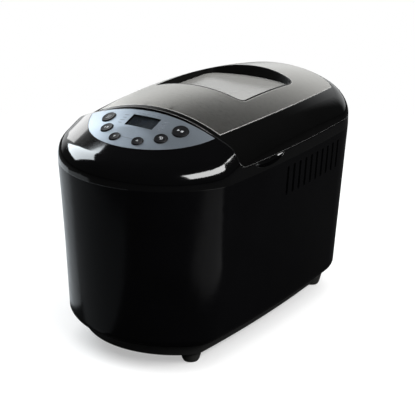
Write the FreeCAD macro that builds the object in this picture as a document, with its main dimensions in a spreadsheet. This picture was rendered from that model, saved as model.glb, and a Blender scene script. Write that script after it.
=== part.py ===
import FreeCAD, Part
import math
import os
import re
import Sketcher
from FreeCAD import Placement, Rotation, Vector

# A bread machine: tapered casing, gloss deck with a lens-shaped control panel, domed steel-topped lid
# with a sunken window, and inside it the oven, bread pan, kneading drive and electronics.
# Frame: +X is the machine's right seen from the front, the front faces -Y, +Z is up, and the origin is
# on the table below the middle of the machine. Lengths are in millimetres and angles in degrees.

SIZES = {
    # Casing
    "width": 222, "depth": 364, "front_end": 184, "foot_width": 196, "front_lean": 10, "rear_lean": 4,
    "front_bow": 120, "rear_bow": 400, "side_bow": 1600, "corner": 42, "rear_corner": 64,
    "casing_bottom": 28, "seam": 204, "housing_wall": 2.5, "bottom_round": 10, "bottom_ring": 18,
    "vent_count": 10, "vent_pitch": 12.4, "vent_width": 4, "vent_first": -4,
    "vent_bottom": 163, "vent_height": 33,
    # Base tray and feet
    "base_bottom": 14, "base_wall": 2.5, "base_margin": 1, "base_lean": 6,
    "base_slot_count": 5, "base_slot_pitch": 12, "base_slot_length": 44, "base_slot_width": 4,
    "foot_x": 61, "foot_front_inset": 69, "foot_rear_inset": 44, "foot_radius": 11.5, "foot_tip_radius": 9.5,
    "foot_stud": 4, "foot_pad": 1,
    "post_x": 50, "post_front_y": -92, "post_rear_y": 118, "post_radius": 5, "base_screw_y": 100,
    # Deck
    "deck_top": 215.5, "deck_wall": 3.2, "deck_round": 24, "bay_gap": 1,
    "tongue": 6, "tongue_thickness": 2, "tongue_gap": 0.9,
    "scoop_y": -42, "scoop_half_length": 27, "scoop_half_height": 8, "scoop_depth": 7,
    # Control panel, measured along the slope from the panel's middle
    "panel_forward": 123.5, "panel_height": 248.8, "panel_tilt": 21.5, "panel_radius": 240,
    "lens_tip_x": 79, "lens_tip": 23, "lens_top": 29.5, "lens_low": -32,
    "fascia_thickness": 1.2, "fascia_gap": 0.15,
    "display_width": 35, "display_low": 2.5, "display_high": 20.5,
    "display_border": 1.2, "display_drop": 4.6, "display_depth": 5, "display_foot": 15,
    "board_depth": 15, "board_half_width": 58, "board_low": -28, "board_high": 18, "board_thickness": 1.6,
    "board_boss": 3.5, "board_boss_x": 54, "board_boss_low": -8, "board_boss_high": 12,
    "button_gap": 0.3, "button_rise": 1.4, "button_travel": 1, "button_skirt": 5,
    "stem_radius": 2.5, "stem_gap": 1,
    "start_radius": 8.8, "program_radius": 8, "option_radius": 7.2, "arrow_radius": 6.3,
    "outer_button_x": 46, "outer_button": 12.5, "middle_button_x": 34.5, "middle_button": -6,
    "inner_button_x": 14.5, "inner_button": -19,
    # Lid
    "crown_top": 270.3, "crown_across": 190, "crown_along": 800, "crown_middle": 22, "shoulder": 28,
    "lid_gap": 0.8, "lid_front": 94, "lid_corner": 8, "lid_reach": 3, "lid_wall": 2.5, "heel_round": 11,
    "plate_thickness": 1, "plate_inset": 20, "plate_half_width": 87, "plate_bow": 700, "plate_lip": 7,
    "plate_gap": 0.15,
    "well_half_width": 59, "well_front": -16, "well_rear": 106, "well_bow": 120,
    "well_front_round": 9, "well_rear_round": 20, "well_wall": 2, "well_gap": 0.2,
    "ledge_width": 5, "ledge_thickness": 3.5,
    "glass_top": 253.5, "glass_thickness": 3, "glass_gap": 0.2,
    "liner_sheet": 1, "liner_lift": 2.5, "liner_flange": 9, "liner_half_width": 80, "liner_front": -52,
    "liner_rear": 134, "liner_boss": 4.5, "liner_round": 30, "liner_hole_margin": 12,
    "pane_overlap": 6, "pane_thickness": 3,
    # Hinge
    "hinge_y": 164, "hinge_z": 221, "pin_radius": 2.5, "pin_gap": 0.05, "pin_length": 34,
    "barrel_radius": 5, "lug_x": 45, "lug_width": 16, "lug_gap": 0.5, "lug_arm": 36, "lug_back": 3,
    "cover_radius": 15, "cover_gap": 2.5, "cover_half_length": 72, "cover_wall": 2.5,
    # Oven
    "oven_width": 170, "oven_length": 214, "oven_centre": 41, "oven_sheet": 1, "oven_round": 20,
    "oven_flange": 9, "mouth_inset": 1,
    "element_radius": 3.2, "element_half_width": 76, "element_half_length": 97, "element_bend": 25,
    "element_height": 62, "element_tail": 14, "element_tail_bend": 8, "element_out": 9,
    "bushing_radius": 6, "bushing_length": 8, "bushing_inside": 0.8, "bushing_gap": 0.1,
    "probe_radius": 3, "probe_x": 40, "probe_height": 110, "probe_length": 26, "probe_collar": 6,
    "probe_collar_length": 3, "probe_inside": 14,
    # Chassis
    "chassis_bottom": 44, "chassis_sheet": 1.5, "chassis_half_width": 60, "chassis_front": -152,
    "chassis_rear": 162, "chassis_round": 12,
    # Pan
    "pan_half_width": 66, "pan_half_length": 83, "pan_bottom": 70, "pan_rim": 190, "pan_wall": 1.4,
    "pan_taper": 3, "pan_round": 22, "pan_floor_round": 8, "rim_width": 3.5, "rim_thickness": 1.6,
    "seat_sheet": 1.2, "seat_radius": 46, "seat_wall": 2, "seat_height": 11, "seat_flange": 9,
    "foot_ring_gap": 1, "foot_ring_wall": 2.5,
    "ear_thickness": 2, "ear_half_length": 6, "pivot_rise": 6,
    "handle_wire": 2.2, "handle_reach": 36, "handle_side": 73, "handle_bend": 12, "handle_inside": 3.5,
    "handle_gap": 0.05, "grip_radius": 3.8, "grip_half_length": 34,
    # Drive
    "shaft_radius": 4, "shaft_gap": 0.05, "shaft_bottom": 20,
    "bearing_radius": 11, "bearing_flange": 20, "bearing_flange_thickness": 3, "bearing_bottom": 37,
    "bearing_top": 56, "bearing_gap": 0.3,
    "pulley_bottom": 23, "pulley_width": 12, "pulley_flange": 1.5, "pulley_lip": 3,
    "big_pulley_radius": 54, "small_pulley_radius": 9, "pulley_hub": 12, "pulley_rim": 6, "pulley_web": 4,
    "pulley_hole": 11, "pulley_hole_at": 31, "pulley_hole_count": 5,
    "belt_width": 8, "belt_thickness": 2.5, "belt_gap": 0.3,
    "coupling_radius": 17, "coupling_height": 4, "coupling_lift": 0.5,
    "dog_pin_radius": 2.5, "dog_pin_at": 12.5, "dog_pin_height": 7, "dog_gap": 0.3,
    "dog_length": 34, "dog_width": 8, "dog_height": 5, "dog_lift": 1.5,
    "pan_bearing_radius": 10, "pan_bearing_flange": 16, "pan_bearing_inside": 6,
    "paddle_hub_radius": 9, "paddle_hub_height": 24, "paddle_lift": 1, "paddle_reach": 42,
    "paddle_height": 20, "paddle_thickness": 5, "flat_depth": 1,
    # Motor
    "motor_forward": 122, "motor_radius": 36, "motor_height": 64, "motor_shell": 3, "motor_plate": 4,
    "stator_bore": 22.6, "stator_gap": 0.1, "stator_height": 40, "rotor_radius": 22, "rotor_height": 36,
    "motor_ear": 43, "motor_ear_radius": 6, "motor_hole": 14,
    "fan_radius": 24, "fan_height": 9, "fan_hub": 8, "fan_lift": 2, "fan_blade": 1.6, "fan_count": 8,
    "shaft_above": 14,
    # Electronics and fastenings
    "shield_gap": 14, "shield_sheet": 1, "shield_half_width": 52, "shield_top": 192, "shield_foot": 11,
    "power_board_low": 132, "power_board_high": 188, "power_board_half_width": 48,
    "power_board_thickness": 1.6,
    "standoff_radius": 3, "standoff_length": 6, "standoff_margin": 6,
    "transformer_width": 36, "transformer_depth": 26, "transformer_height": 30, "transformer_x": -22,
    "core_overhang": 4, "core_thickness": 14,
    "capacitor_radius": 12, "capacitor_height": 32, "capacitor_x": 28,
    "gland_x": -24, "gland_height": 52, "gland_radius": 8, "gland_flange": 11.5, "gland_flange_thickness": 4,
    "gland_bore": 4, "gland_length": 16, "gland_gap": 0.2,
    "screw_radius": 2, "screw_head": 4, "screw_head_height": 2.2, "screw_length": 10, "screw_gap": 0.1,
    "base_screw_length": 12, "deck_screw_cover": 0.6,
}

doc = FreeCAD.newDocument("bread_machine")
sheet = doc.addObject("Spreadsheet::Sheet", "dims")
for row, (alias, number) in enumerate(SIZES.items(), 1):
    sheet.set(f"A{row}", alias)
    sheet.set(f"B{row}", str(number))
    sheet.setAlias(f"B{row}", alias)
doc.recompute()

SUB_PARTS = []


def size(alias):
    """The number in the named cell."""
    return float(sheet.get(alias))


def bound(text):
    """An expression in which every named size points at its cell."""
    return re.sub(r"[a-z_]+", lambda word: f"dims.{word[0]}" if word[0] in SIZES else word[0], text)


def bind(thing, prop, text):
    thing.setExpression(prop, bound(text))


# Document helpers


def new_body(label, x="0", y="0", z="0"):
    """A body whose own origin stands at the given place."""
    body = doc.addObject("PartDesign::Body", label)
    body.Label = label
    for axis, text in zip("xyz", (x, y, z)):
        bind(body, f"Placement.Base.{axis}", text)
    SUB_PARTS.append(body)
    return body


def new_panel_body(label):
    """A body drawn in the control panel's own frame: x across, y up the slope, z out of the panel."""
    body = new_body(label, y="-panel_forward", z="panel_height")
    body.Placement.Rotation = Rotation(Vector(1, 0, 0), size("panel_tilt"))
    bind(body, "Placement.Rotation.Angle", "panel_tilt")
    return body


def new_solid(label, shape):
    """A sub-part whose moulded shape is worked out below from the sheet's sizes."""
    feature = doc.addObject("Part::Feature", label)
    feature.Label = label
    feature.Shape = shape
    feature.Placement = Placement()
    SUB_PARTS.append(feature)
    return feature


def new_sketch(body, lift="0", plane="XY_Plane"):
    sketch = body.newObject("Sketcher::SketchObject", "sketch")
    origin_plane = next(item for item in body.Origin.OriginFeatures if item.Role == plane)
    sketch.AttachmentSupport = [(origin_plane, "")]
    sketch.MapMode = "FlatFace"
    bind(sketch, "AttachmentOffset.Base.z", lift)
    return sketch


def hold_point(sketch, curve, end, x, y, start):
    """Pin one point of a curve to coordinates that follow the sheet."""
    for kind, text, value in (("DistanceX", x, start.x), ("DistanceY", y, start.y)):
        index = sketch.addConstraint(Sketcher.Constraint(kind, -1, 1, curve, end, value))
        bind(sketch, f"Constraints[{index}]", text)


def polygon(sketch, corners):
    """A closed chain of lines through corners given as pairs of expressions."""
    first = sketch.GeometryCount
    count = len(corners)
    turns = [2 * math.pi * step / count for step in range(count)]
    starts = [Vector(20 * math.cos(turn), 20 * math.sin(turn), 0) for turn in turns]
    for step in range(count):
        sketch.addGeometry(Part.LineSegment(starts[step], starts[(step + 1) % count]))
    for step in range(count):
        following = first + (step + 1) % count
        sketch.addConstraint(Sketcher.Constraint("Coincident", first + step, 2, following, 1))
    for step, (x, y) in enumerate(corners):
        hold_point(sketch, first + step, 1, x, y, starts[step])


def rectangle(sketch, left, right, low, high):
    polygon(sketch, [(left, low), (right, low), (right, high), (left, high)])


def circle(sketch, radius, x="0", y="0"):
    curve = sketch.addGeometry(Part.Circle(Vector(1, 1, 0), Vector(0, 0, 1), 5))
    hold_point(sketch, curve, 3, x, y, Vector(1, 1, 0))
    index = sketch.addConstraint(Sketcher.Constraint("Radius", curve, 5))
    bind(sketch, f"Constraints[{index}]", radius)


def pad(body, sketch, length, taper=None):
    feature = body.newObject("PartDesign::Pad", "pad")
    feature.Profile = sketch
    bind(feature, "Length", length)
    if taper:
        bind(feature, "TaperAngle", taper)
    return feature


def pocket(body, sketch, length, taper=None):
    """A cut from the sketch downwards."""
    feature = body.newObject("PartDesign::Pocket", "pocket")
    feature.Profile = sketch
    bind(feature, "Length", length)
    if taper:
        bind(feature, "TaperAngle", taper)
    return feature


def revolve(body, profile):
    """A turned solid: profile holds (radius, height) expressions round the body's upright axis."""
    sketch = new_sketch(body, plane="XZ_Plane")
    polygon(sketch, profile)
    feature = body.newObject("PartDesign::Revolution", "revolution")
    feature.Profile = sketch
    feature.ReferenceAxis = (sketch, ["V_Axis"])
    feature.Angle = 360
    return feature


def round_edges(body, radius, wanted):
    """Fillet those edges of the body so far that the test accepts."""
    doc.recompute()
    base = body.Tip
    names = [f"Edge{number}" for number, edge in enumerate(base.Shape.Edges, 1) if wanted(edge)]
    feature = body.newObject("PartDesign::Fillet", "fillet")
    feature.Base = (base, names)
    bind(feature, "Radius", radius)
    return feature


def repeat_round(body, feature, sketch, count):
    """Repeat a feature about the sketch's normal."""
    pattern = body.newObject("PartDesign::PolarPattern", "pattern")
    pattern.Originals = [feature]
    pattern.Axis = (sketch, ["N_Axis"])
    pattern.Angle = 360
    bind(pattern, "Occurrences", count)
    body.Tip = pattern
    return pattern


def is_upright(edge):
    low, high = edge.BoundBox.ZMin, edge.BoundBox.ZMax
    return high - low > 1 and edge.Length - (high - low) < 0.2 * edge.Length


# Plan outlines and prisms of the moulded casing


def corner_arc(bow_centre, bow_radius, side_centre, side_radius, radius, towards):
    """Centre and two touching points of the corner arc between a bowed end and a bowed side."""
    line = side_centre - bow_centre
    distance = line.Length
    along = line * (1 / distance)
    across = Vector(-along.y, along.x, 0)
    reach, other = bow_radius - radius, side_radius - radius
    step = (reach ** 2 - other ** 2 + distance ** 2) / (2 * distance)
    height = math.sqrt(reach ** 2 - step ** 2)
    choices = [bow_centre + along * step + across * turn * height for turn in (1, -1)]
    centre = max(choices, key=lambda point: point.y * towards)
    on_bow = bow_centre + (centre - bow_centre).normalize() * bow_radius
    on_side = side_centre + (centre - side_centre).normalize() * side_radius
    return centre, on_bow, on_side


def arc_middle(centre, start, end):
    radius = (start - centre).Length
    return centre + ((start - centre) + (end - centre)).normalize() * radius


def mirrored(point):
    return Vector(-point.x, point.y, point.z)


def rear_end():
    return size("depth") - size("front_end")


def casing_outline(z, share=1.0, inset=0.0):
    """Plan outline at height z: share runs from 0 at the casing's foot to 1 at the seam."""
    foot_half, top_half = size("foot_width") / 2, size("width") / 2
    half = foot_half + (top_half - foot_half) * share - inset
    front = -size("front_end") + size("front_lean") * (1 - share) + inset
    rear = rear_end() - size("rear_lean") * (1 - share) - inset
    front_bow, rear_bow = size("front_bow") - inset, size("rear_bow") - inset
    side_bow, corner, rear_corner = (size(name) - inset for name in ("side_bow", "corner", "rear_corner"))
    lift = Vector(0, 0, z)
    front_centre, rear_centre = Vector(0, front + front_bow, 0), Vector(0, rear - rear_bow, 0)
    side_centre = Vector(half - side_bow, 0, 0)
    near, near_bow, near_side = corner_arc(front_centre, front_bow, side_centre, side_bow, corner, -1)
    far, far_bow, far_side = corner_arc(rear_centre, rear_bow, side_centre, side_bow, rear_corner, 1)
    near_middle = arc_middle(near, near_bow, near_side)
    far_middle = arc_middle(far, far_bow, far_side)
    chain = [
        (mirrored(near_bow), Vector(0, front, 0), near_bow),
        (near_bow, near_middle, near_side),
        (near_side, Vector(half, 0, 0), far_side),
        (far_side, far_middle, far_bow),
        (far_bow, Vector(0, rear, 0), mirrored(far_bow)),
        (mirrored(far_bow), mirrored(far_middle), mirrored(far_side)),
        (mirrored(far_side), Vector(-half, 0, 0), mirrored(near_side)),
        (mirrored(near_side), mirrored(near_middle), mirrored(near_bow)),
    ]
    return Part.Wire([Part.Arc(*(point + lift for point in trio)).toShape() for trio in chain])


def prism(wire, bottom, top):
    """The solid over a flat wire between two heights."""
    face = Part.Face(wire)
    face.translate(Vector(0, 0, bottom - face.BoundBox.ZMin))
    return face.extrude(Vector(0, 0, top - bottom))


def rounded_wire(left, right, low, high, low_round, high_round):
    """A rectangle in plan with its own corner radius at the low and the high end."""
    edges = []

    def line(x0, y0, x1, y1):
        edges.append(Part.LineSegment(Vector(x0, y0, 0), Vector(x1, y1, 0)).toShape())

    def arc(x, y, radius, start):
        points = [Vector(x, y, 0) + radius * Vector(math.cos(a), math.sin(a), 0)
                  for a in (start, start + math.pi / 4, start + math.pi / 2)]
        edges.append(Part.Arc(*points).toShape())

    line(left + low_round, low, right - low_round, low)
    arc(right - low_round, low + low_round, low_round, -math.pi / 2)
    line(right, low + low_round, right, high - high_round)
    arc(right - high_round, high - high_round, high_round, 0)
    line(right - high_round, high, left + high_round, high)
    arc(left + high_round, high - high_round, high_round, math.pi / 2)
    line(left, high - high_round, left, low + low_round)
    arc(left + low_round, low + low_round, low_round, math.pi)
    return Part.Wire(edges)


def bench_cylinder(radius, bottom, top, x=0.0, y=0.0):
    return Part.makeCylinder(radius, top - bottom, Vector(x, y, bottom))


def cross_cylinder(radius, left, right, y, z):
    return Part.makeCylinder(radius, right - left, Vector(left, y, z), Vector(1, 0, 0))


def block(left, right, front, rear, bottom, top):
    return Part.makeBox(right - left, rear - front, top - bottom, Vector(left, front, bottom))


# Casing


def side_slots():
    """The upright ventilation slots through both side walls."""
    radius = size("vent_width") / 2
    low, high = size("vent_bottom") + radius, size("vent_bottom") + size("vent_height") - radius
    reach = size("width")
    slots = []
    for step in range(int(size("vent_count"))):
        y = size("vent_first") + step * size("vent_pitch")
        slots.append(block(-reach, reach, y - radius, y + radius, low, high))
        slots += [cross_cylinder(radius, -reach, reach, y, z) for z in (low, high)]
    return slots


def outer_housing():
    """Tapered shell with a rounded foot, an inward ring for the base screws and slotted sides."""
    bottom, seam, wall = size("casing_bottom"), size("seam"), size("housing_wall")
    outer = Part.makeLoft([casing_outline(bottom, 0), casing_outline(seam, 1)], True, True)
    foot_edges = [edge for edge in outer.Edges if edge.BoundBox.ZMax < bottom + 0.01]
    outer = outer.makeFillet(size("bottom_round"), foot_edges)
    rise = wall / (seam - bottom)
    inner = Part.makeLoft([casing_outline(bottom + wall, rise, wall),
                           casing_outline(seam + wall, 1 + rise, wall)], True, True)
    opening = prism(casing_outline(0, 0, size("bottom_round") + size("bottom_ring")), 0, seam)
    shell = outer.cut(inner).cut(opening)
    shell = shell.cut(side_slots())
    gland = Part.makeCylinder(size("gland_radius") + size("gland_gap"), size("depth"),
                              Vector(size("gland_x"), 0, size("gland_height")), Vector(0, 1, 0))
    shell = shell.cut(gland)
    holes = [bench_cylinder(size("screw_radius") + size("screw_gap"), 0, seam / 2, x, y)
             for x, y in base_screw_places()]
    return new_solid("outer_housing", shell.cut(holes))


def base_screw_places():
    """Six places along the housing's inward ring, inside the tray's leaning wall."""
    inset = size("bottom_round") + size("base_margin") + size("base_lean") + size("post_radius")
    ring = size("foot_width") / 2 - inset
    reach = size("base_screw_y")
    return [(side * (ring - y ** 2 / (2 * size("side_bow"))), y)
            for side in (-1, 1) for y in (-reach, 0, reach)]


def post_places():
    return [(side * size("post_x"), size(y)) for side in (-1, 1) for y in ("post_front_y", "post_rear_y")]


def foot_places():
    reach = {"front": size("foot_front_inset") - size("front_end"), "rear": rear_end() - size("foot_rear_inset")}
    return {f"foot_{end}_{side}": (x * size("foot_x"), y)
            for end, y in reach.items() for side, x in (("left", -1), ("right", 1))}


def base_plate():
    """Shallow tray under the housing with chassis posts, foot seats and ventilation slots."""
    low, high, wall = size("base_bottom"), size("casing_bottom"), size("base_wall")
    rim = size("bottom_round") + size("base_margin")
    lean = size("base_lean")
    outer = Part.makeLoft([casing_outline(low, 0, rim + lean), casing_outline(high, 0, rim)], True, True)
    share = wall / (high - low)
    inner = Part.makeLoft([casing_outline(low + wall, 0, rim + lean * (1 - share) + wall),
                           casing_outline(high + wall, 0, rim - lean * share + wall)], True, True)
    tray = outer.cut(inner)
    screw = size("screw_radius") + size("screw_gap")
    posts = [bench_cylinder(size("post_radius"), low + wall / 2, size("chassis_bottom"), x, y)
             for x, y in post_places()]
    bosses = [bench_cylinder(size("post_radius"), low + wall / 2, high, x, y) for x, y in base_screw_places()]
    pads = [bench_cylinder(size("foot_radius") + size("foot_pad"), low, high, x, y)
            for x, y in foot_places().values()]
    tray = tray.fuse(posts + bosses + pads).removeSplitter()
    cuts = [bench_cylinder(screw, 0, size("chassis_bottom") + wall, x, y)
            for x, y in post_places() + base_screw_places()]
    recess = low + wall + size("screw_head_height")
    cuts += [bench_cylinder(size("screw_head") + size("screw_gap"), 0, recess, x, y)
             for x, y in post_places() + base_screw_places()]
    cuts += [bench_cylinder(size("foot_stud"), 0, low + wall, x, y) for x, y in foot_places().values()]
    half, thick = size("base_slot_length") / 2, size("base_slot_width") / 2
    for step in range(int(size("base_slot_count"))):
        y = size("oven_centre") + (step - (size("base_slot_count") - 1) / 2) * size("base_slot_pitch")
        cuts.append(block(-half, half, y - thick, y + thick, 0, low + 2 * wall))
    return new_solid("base_plate", tray.cut(cuts))


def rubber_feet():
    """Four tapered feet, each with a stud up through the base tray."""
    for label, (x, y) in foot_places().items():
        side = "" if x > 0 else "-"
        reach = "depth - front_end - foot_rear_inset" if y > 0 else "foot_front_inset - front_end"
        foot = new_body(label, f"{side}foot_x", reach)
        revolve(foot, [
            ("0", "0"), ("foot_tip_radius * 0.6", "0"), ("foot_tip_radius * 0.85", "1"),
            ("foot_tip_radius", "3.5"), ("foot_radius", "base_bottom - 3"), ("foot_radius", "base_bottom"),
            ("foot_stud - fascia_gap", "base_bottom"), ("foot_stud - fascia_gap", "base_bottom + base_wall"),
            ("0", "base_bottom + base_wall"),
        ])


# Control panel


def panel_frame():
    place = Vector(0, -size("panel_forward"), size("panel_height"))
    return Placement(place, Rotation(Vector(1, 0, 0), size("panel_tilt")))


def panel_solid(inset=0.0):
    """The crowned control surface: a cylinder lying along the panel's slope."""
    radius, reach = size("panel_radius"), size("depth")
    solid = Part.makeCylinder(radius - inset, 2 * reach, Vector(0, -reach, -radius), Vector(0, 1, 0))
    solid.rotate(Vector(0, 0, -radius), Vector(0, 1, 0), 180)
    solid.Placement = panel_frame().multiply(solid.Placement)
    return solid


def lens_prism(grow=0.0):
    """Upright prism over the leaf-shaped fascia, in the machine's frame."""
    tip_x, tip = size("lens_tip_x") + grow, size("lens_tip")
    left, right = Vector(-tip_x, tip, 0), Vector(tip_x, tip, 0)
    upper = Part.Arc(right, Vector(0, size("lens_top") + grow, 0), left).toShape()
    lower = Part.Arc(left, Vector(0, size("lens_low") - grow, 0), right).toShape()
    return panel_prism(Part.Wire([upper, lower]))


def panel_prism(wire):
    """Prism through the panel along its normal."""
    depth = size("panel_radius") / 2
    solid = prism(wire, -depth, depth)
    solid.Placement = panel_frame().multiply(solid.Placement)
    return solid


def display_prism(grow=0.0):
    half = size("display_width") / 2 + grow
    low, high = size("display_low") - grow, size("display_high") + grow
    corners = [(-half, low), (half, low), (half, high), (-half, high), (-half, low)]
    return panel_prism(Part.makePolygon([Vector(x, y, 0) for x, y in corners]))


BUTTONS = {
    "button_program": ("-outer_button_x", "outer_button", "program_radius"),
    "button_size": ("-middle_button_x", "middle_button", "option_radius"),
    "button_time_down": ("-inner_button_x", "inner_button", "arrow_radius"),
    "button_time_up": ("inner_button_x", "inner_button", "arrow_radius"),
    "button_crust": ("middle_button_x", "middle_button", "option_radius"),
    "button_start": ("outer_button_x", "outer_button", "start_radius"),
}


def signed(text):
    return -size(text[1:]) if text.startswith("-") else size(text)


def button_frame(across, up):
    """Frame on the crowned panel whose z axis stands square to the surface."""
    radius = size("panel_radius")
    x = signed(across)
    drop = radius - math.sqrt(radius ** 2 - x ** 2)
    lean = Rotation(Vector(0, 1, 0), math.degrees(math.asin(x / radius)))
    return panel_frame().multiply(Placement(Vector(x, signed(up), -drop), lean))


def button_holes(grow):
    """Cylinders through the panel at every button."""
    holes = []
    for across, up, radius in BUTTONS.values():
        reach = size("board_depth")
        hole = Part.makeCylinder(size(radius) + grow, 2 * reach, Vector(0, 0, -reach))
        hole.Placement = button_frame(across, up)
        holes.append(hole)
    return holes


def buttons():
    """Six push buttons: crowned cap, skirt through the fascia and a stem over the board."""
    for label, (across, up, radius) in BUTTONS.items():
        body = new_body(label)
        beside = f"sqrt(panel_radius ^ 2 - ({across}) ^ 2)"
        over_board = f"((board_depth - panel_radius + {beside}) * panel_radius / {beside})"
        stem_end = f"-({over_board} - button_travel - stem_gap)"
        revolve(body, [
            ("0", stem_end), ("stem_radius", stem_end), ("stem_radius", "-button_skirt"),
            (radius, "-button_skirt"), (radius, "button_rise / 3"),
            (f"{radius} - button_rise / 2", "button_rise"),
            (f"{radius} - 2 * button_rise", "button_rise * 0.8"), ("0", "button_rise * 0.7"),
        ])
        for axis in "xyz":
            body.setExpression(f"Placement.Base.{axis}", None)
        body.Placement = button_frame(across, up)


def control_fascia():
    """Silver leaf-shaped skin let into the deck, pierced for the display and the buttons."""
    skin = panel_solid().cut(panel_solid(size("fascia_thickness")))
    leaf = skin.common(lens_prism())
    leaf = leaf.cut([display_prism(size("fascia_gap"))] + button_holes(size("button_gap")))
    return new_solid("control_fascia", leaf)


def display_window():
    """Clear pane flush with the fascia."""
    skin = panel_solid().cut(panel_solid(size("fascia_thickness")))
    return new_solid("display_window", skin.common(display_prism()))


def display_module():
    """Liquid-crystal module standing on the control board behind its window."""
    body = new_panel_body("display_module")
    glass = new_sketch(body, "-display_drop - display_depth")
    rectangle(glass, "-display_width / 2 - display_border", "display_width / 2 + display_border",
              "display_low - display_border", "display_high + display_border")
    pad(body, glass, "display_depth")
    foot = new_sketch(body, "-board_depth")
    rectangle(foot, "-display_width / 2", "display_width / 2", "display_low", "display_foot")
    pad(body, foot, "board_depth - display_drop - display_depth")


def control_board():
    """Printed board under the panel, on the deck's four bosses."""
    body = new_panel_body("control_board")
    sketch = new_sketch(body, "-board_depth - board_thickness")
    rectangle(sketch, "-board_half_width", "board_half_width", "board_low", "board_high")
    pad(body, sketch, "board_thickness")


# Deck


def top_edges(solid, kind):
    """Edges between the crowned top faces of one kind and the upright sides."""
    def faces_at(edge):
        return [face for face in solid.Faces if any(edge.isSame(other) for other in face.Edges)]

    chosen = []
    for edge in solid.Edges:
        tops = [kind(face) for face in faces_at(edge)]
        if any(tops) and not all(tops):
            chosen.append(edge)
    return chosen


def deck_form(inset=0.0):
    """Outer form of the deck before the lid's bay is cut: plan prism under the crowned panel."""
    def is_panel(face):
        return isinstance(face.Surface, Part.Cylinder) and face.Surface.Radius > size("panel_radius") - 20 \
            and abs(face.Surface.Axis.z) > 0.1 and abs(face.Surface.Axis.z) < 0.9

    column = prism(casing_outline(0, 1, inset), size("seam") - size("deck_round") * 2, size("crown_top") * 2)
    form = column.common(panel_solid(inset)).Solids[0]
    return form.makeFillet(size("deck_round") - inset, top_edges(form, is_panel))


def lid_plan(grow, bottom, top):
    """Space of the lid: straight front, rounded front corners and heel, open past the sides and rear."""
    front = size("lid_front") + grow
    corner = size("lid_corner") + grow
    half = size("width") / 2 + size("lid_reach") + grow
    plan = prism(rounded_wire(-half, half, -front, size("depth"), corner, corner), bottom, top)
    heel_y = size("heel_round") - size("lid_front")
    heel_z = size("deck_top") + size("lid_gap") + size("heel_round")
    below = block(-2 * half, 2 * half, -size("depth"), heel_y, 0, heel_z)
    return plan.cut(below.cut(cross_cylinder(size("heel_round") + grow, -3 * half, 3 * half, heel_y, heel_z)))


def finger_scoop(grow):
    """Ellipsoids for the finger dents under the lid's side edges."""
    ball = Part.makeSphere(1)
    scale = FreeCAD.Matrix()
    scale.scale(*(size(axis) + grow for axis in ("scoop_depth", "scoop_half_length", "scoop_half_height")))
    dent = ball.transformGeometry(scale)
    right, left = dent.copy(), dent.copy()
    edge = size("width") / 2
    right.translate(Vector(edge, size("scoop_y"), size("deck_top")))
    left.translate(Vector(-edge, size("scoop_y"), size("deck_top")))
    return [left, right]


def hinge_cover():
    """Round cover along the hinge line with gaps for the lid's lugs and cheeks for the pins."""
    y, z, half = size("hinge_y"), size("hinge_z"), size("cover_half_length")
    radius, wall = size("cover_radius"), size("cover_wall")
    lug_half = size("lug_width") / 2 + size("lug_gap")
    cheek = (size("pin_length") - size("lug_width")) / 2
    roll = cross_cylinder(radius, -half, half, y, z)
    hollow = [cross_cylinder(radius - wall, -size("lug_x") + lug_half + cheek,
                             size("lug_x") - lug_half - cheek, y, z)]
    hollow += [block(side * size("lug_x") - lug_half, side * size("lug_x") + lug_half,
                     y - 2 * radius, y + 2 * radius, size("deck_top"), z + 2 * radius) for side in (-1, 1)]
    return roll, hollow + pin_bars(size("pin_radius") + size("pin_gap") / 2)


def pin_bars(radius):
    """Two short bars on the hinge axis, one through each lug."""
    half = size("pin_length") / 2
    return [cross_cylinder(radius, x - half, x + half, size("hinge_y"), size("hinge_z"))
            for x in (-size("lug_x"), size("lug_x"))]


def board_bosses():
    """Bosses from the underside of the panel down to the control board."""
    bosses = []
    for x in (-size("board_boss_x"), size("board_boss_x")):
        for y in (size("board_boss_low"), size("board_boss_high")):
            depth = size("board_depth")
            boss = Part.makeCylinder(size("board_boss"), 2 * depth, Vector(x, y, -depth))
            boss.Placement = panel_frame()
            bosses.append(boss)
    return bosses


def mouth_prism(bottom, top):
    half = size("oven_width") / 2 - size("mouth_inset")
    reach = size("oven_length") / 2 - size("mouth_inset")
    centre, corner = size("oven_centre"), size("oven_round") - size("mouth_inset")
    return prism(rounded_wire(-half, half, centre - reach, centre + reach, corner, corner), bottom, top)


def deck_screw_places():
    half = size("oven_width") / 2 + size("oven_sheet") + size("oven_flange") / 2
    reach = size("oven_length") / 4
    return [(side * half, size("oven_centre") + end * reach) for side in (-1, 1) for end in (-1, 1)]


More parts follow.
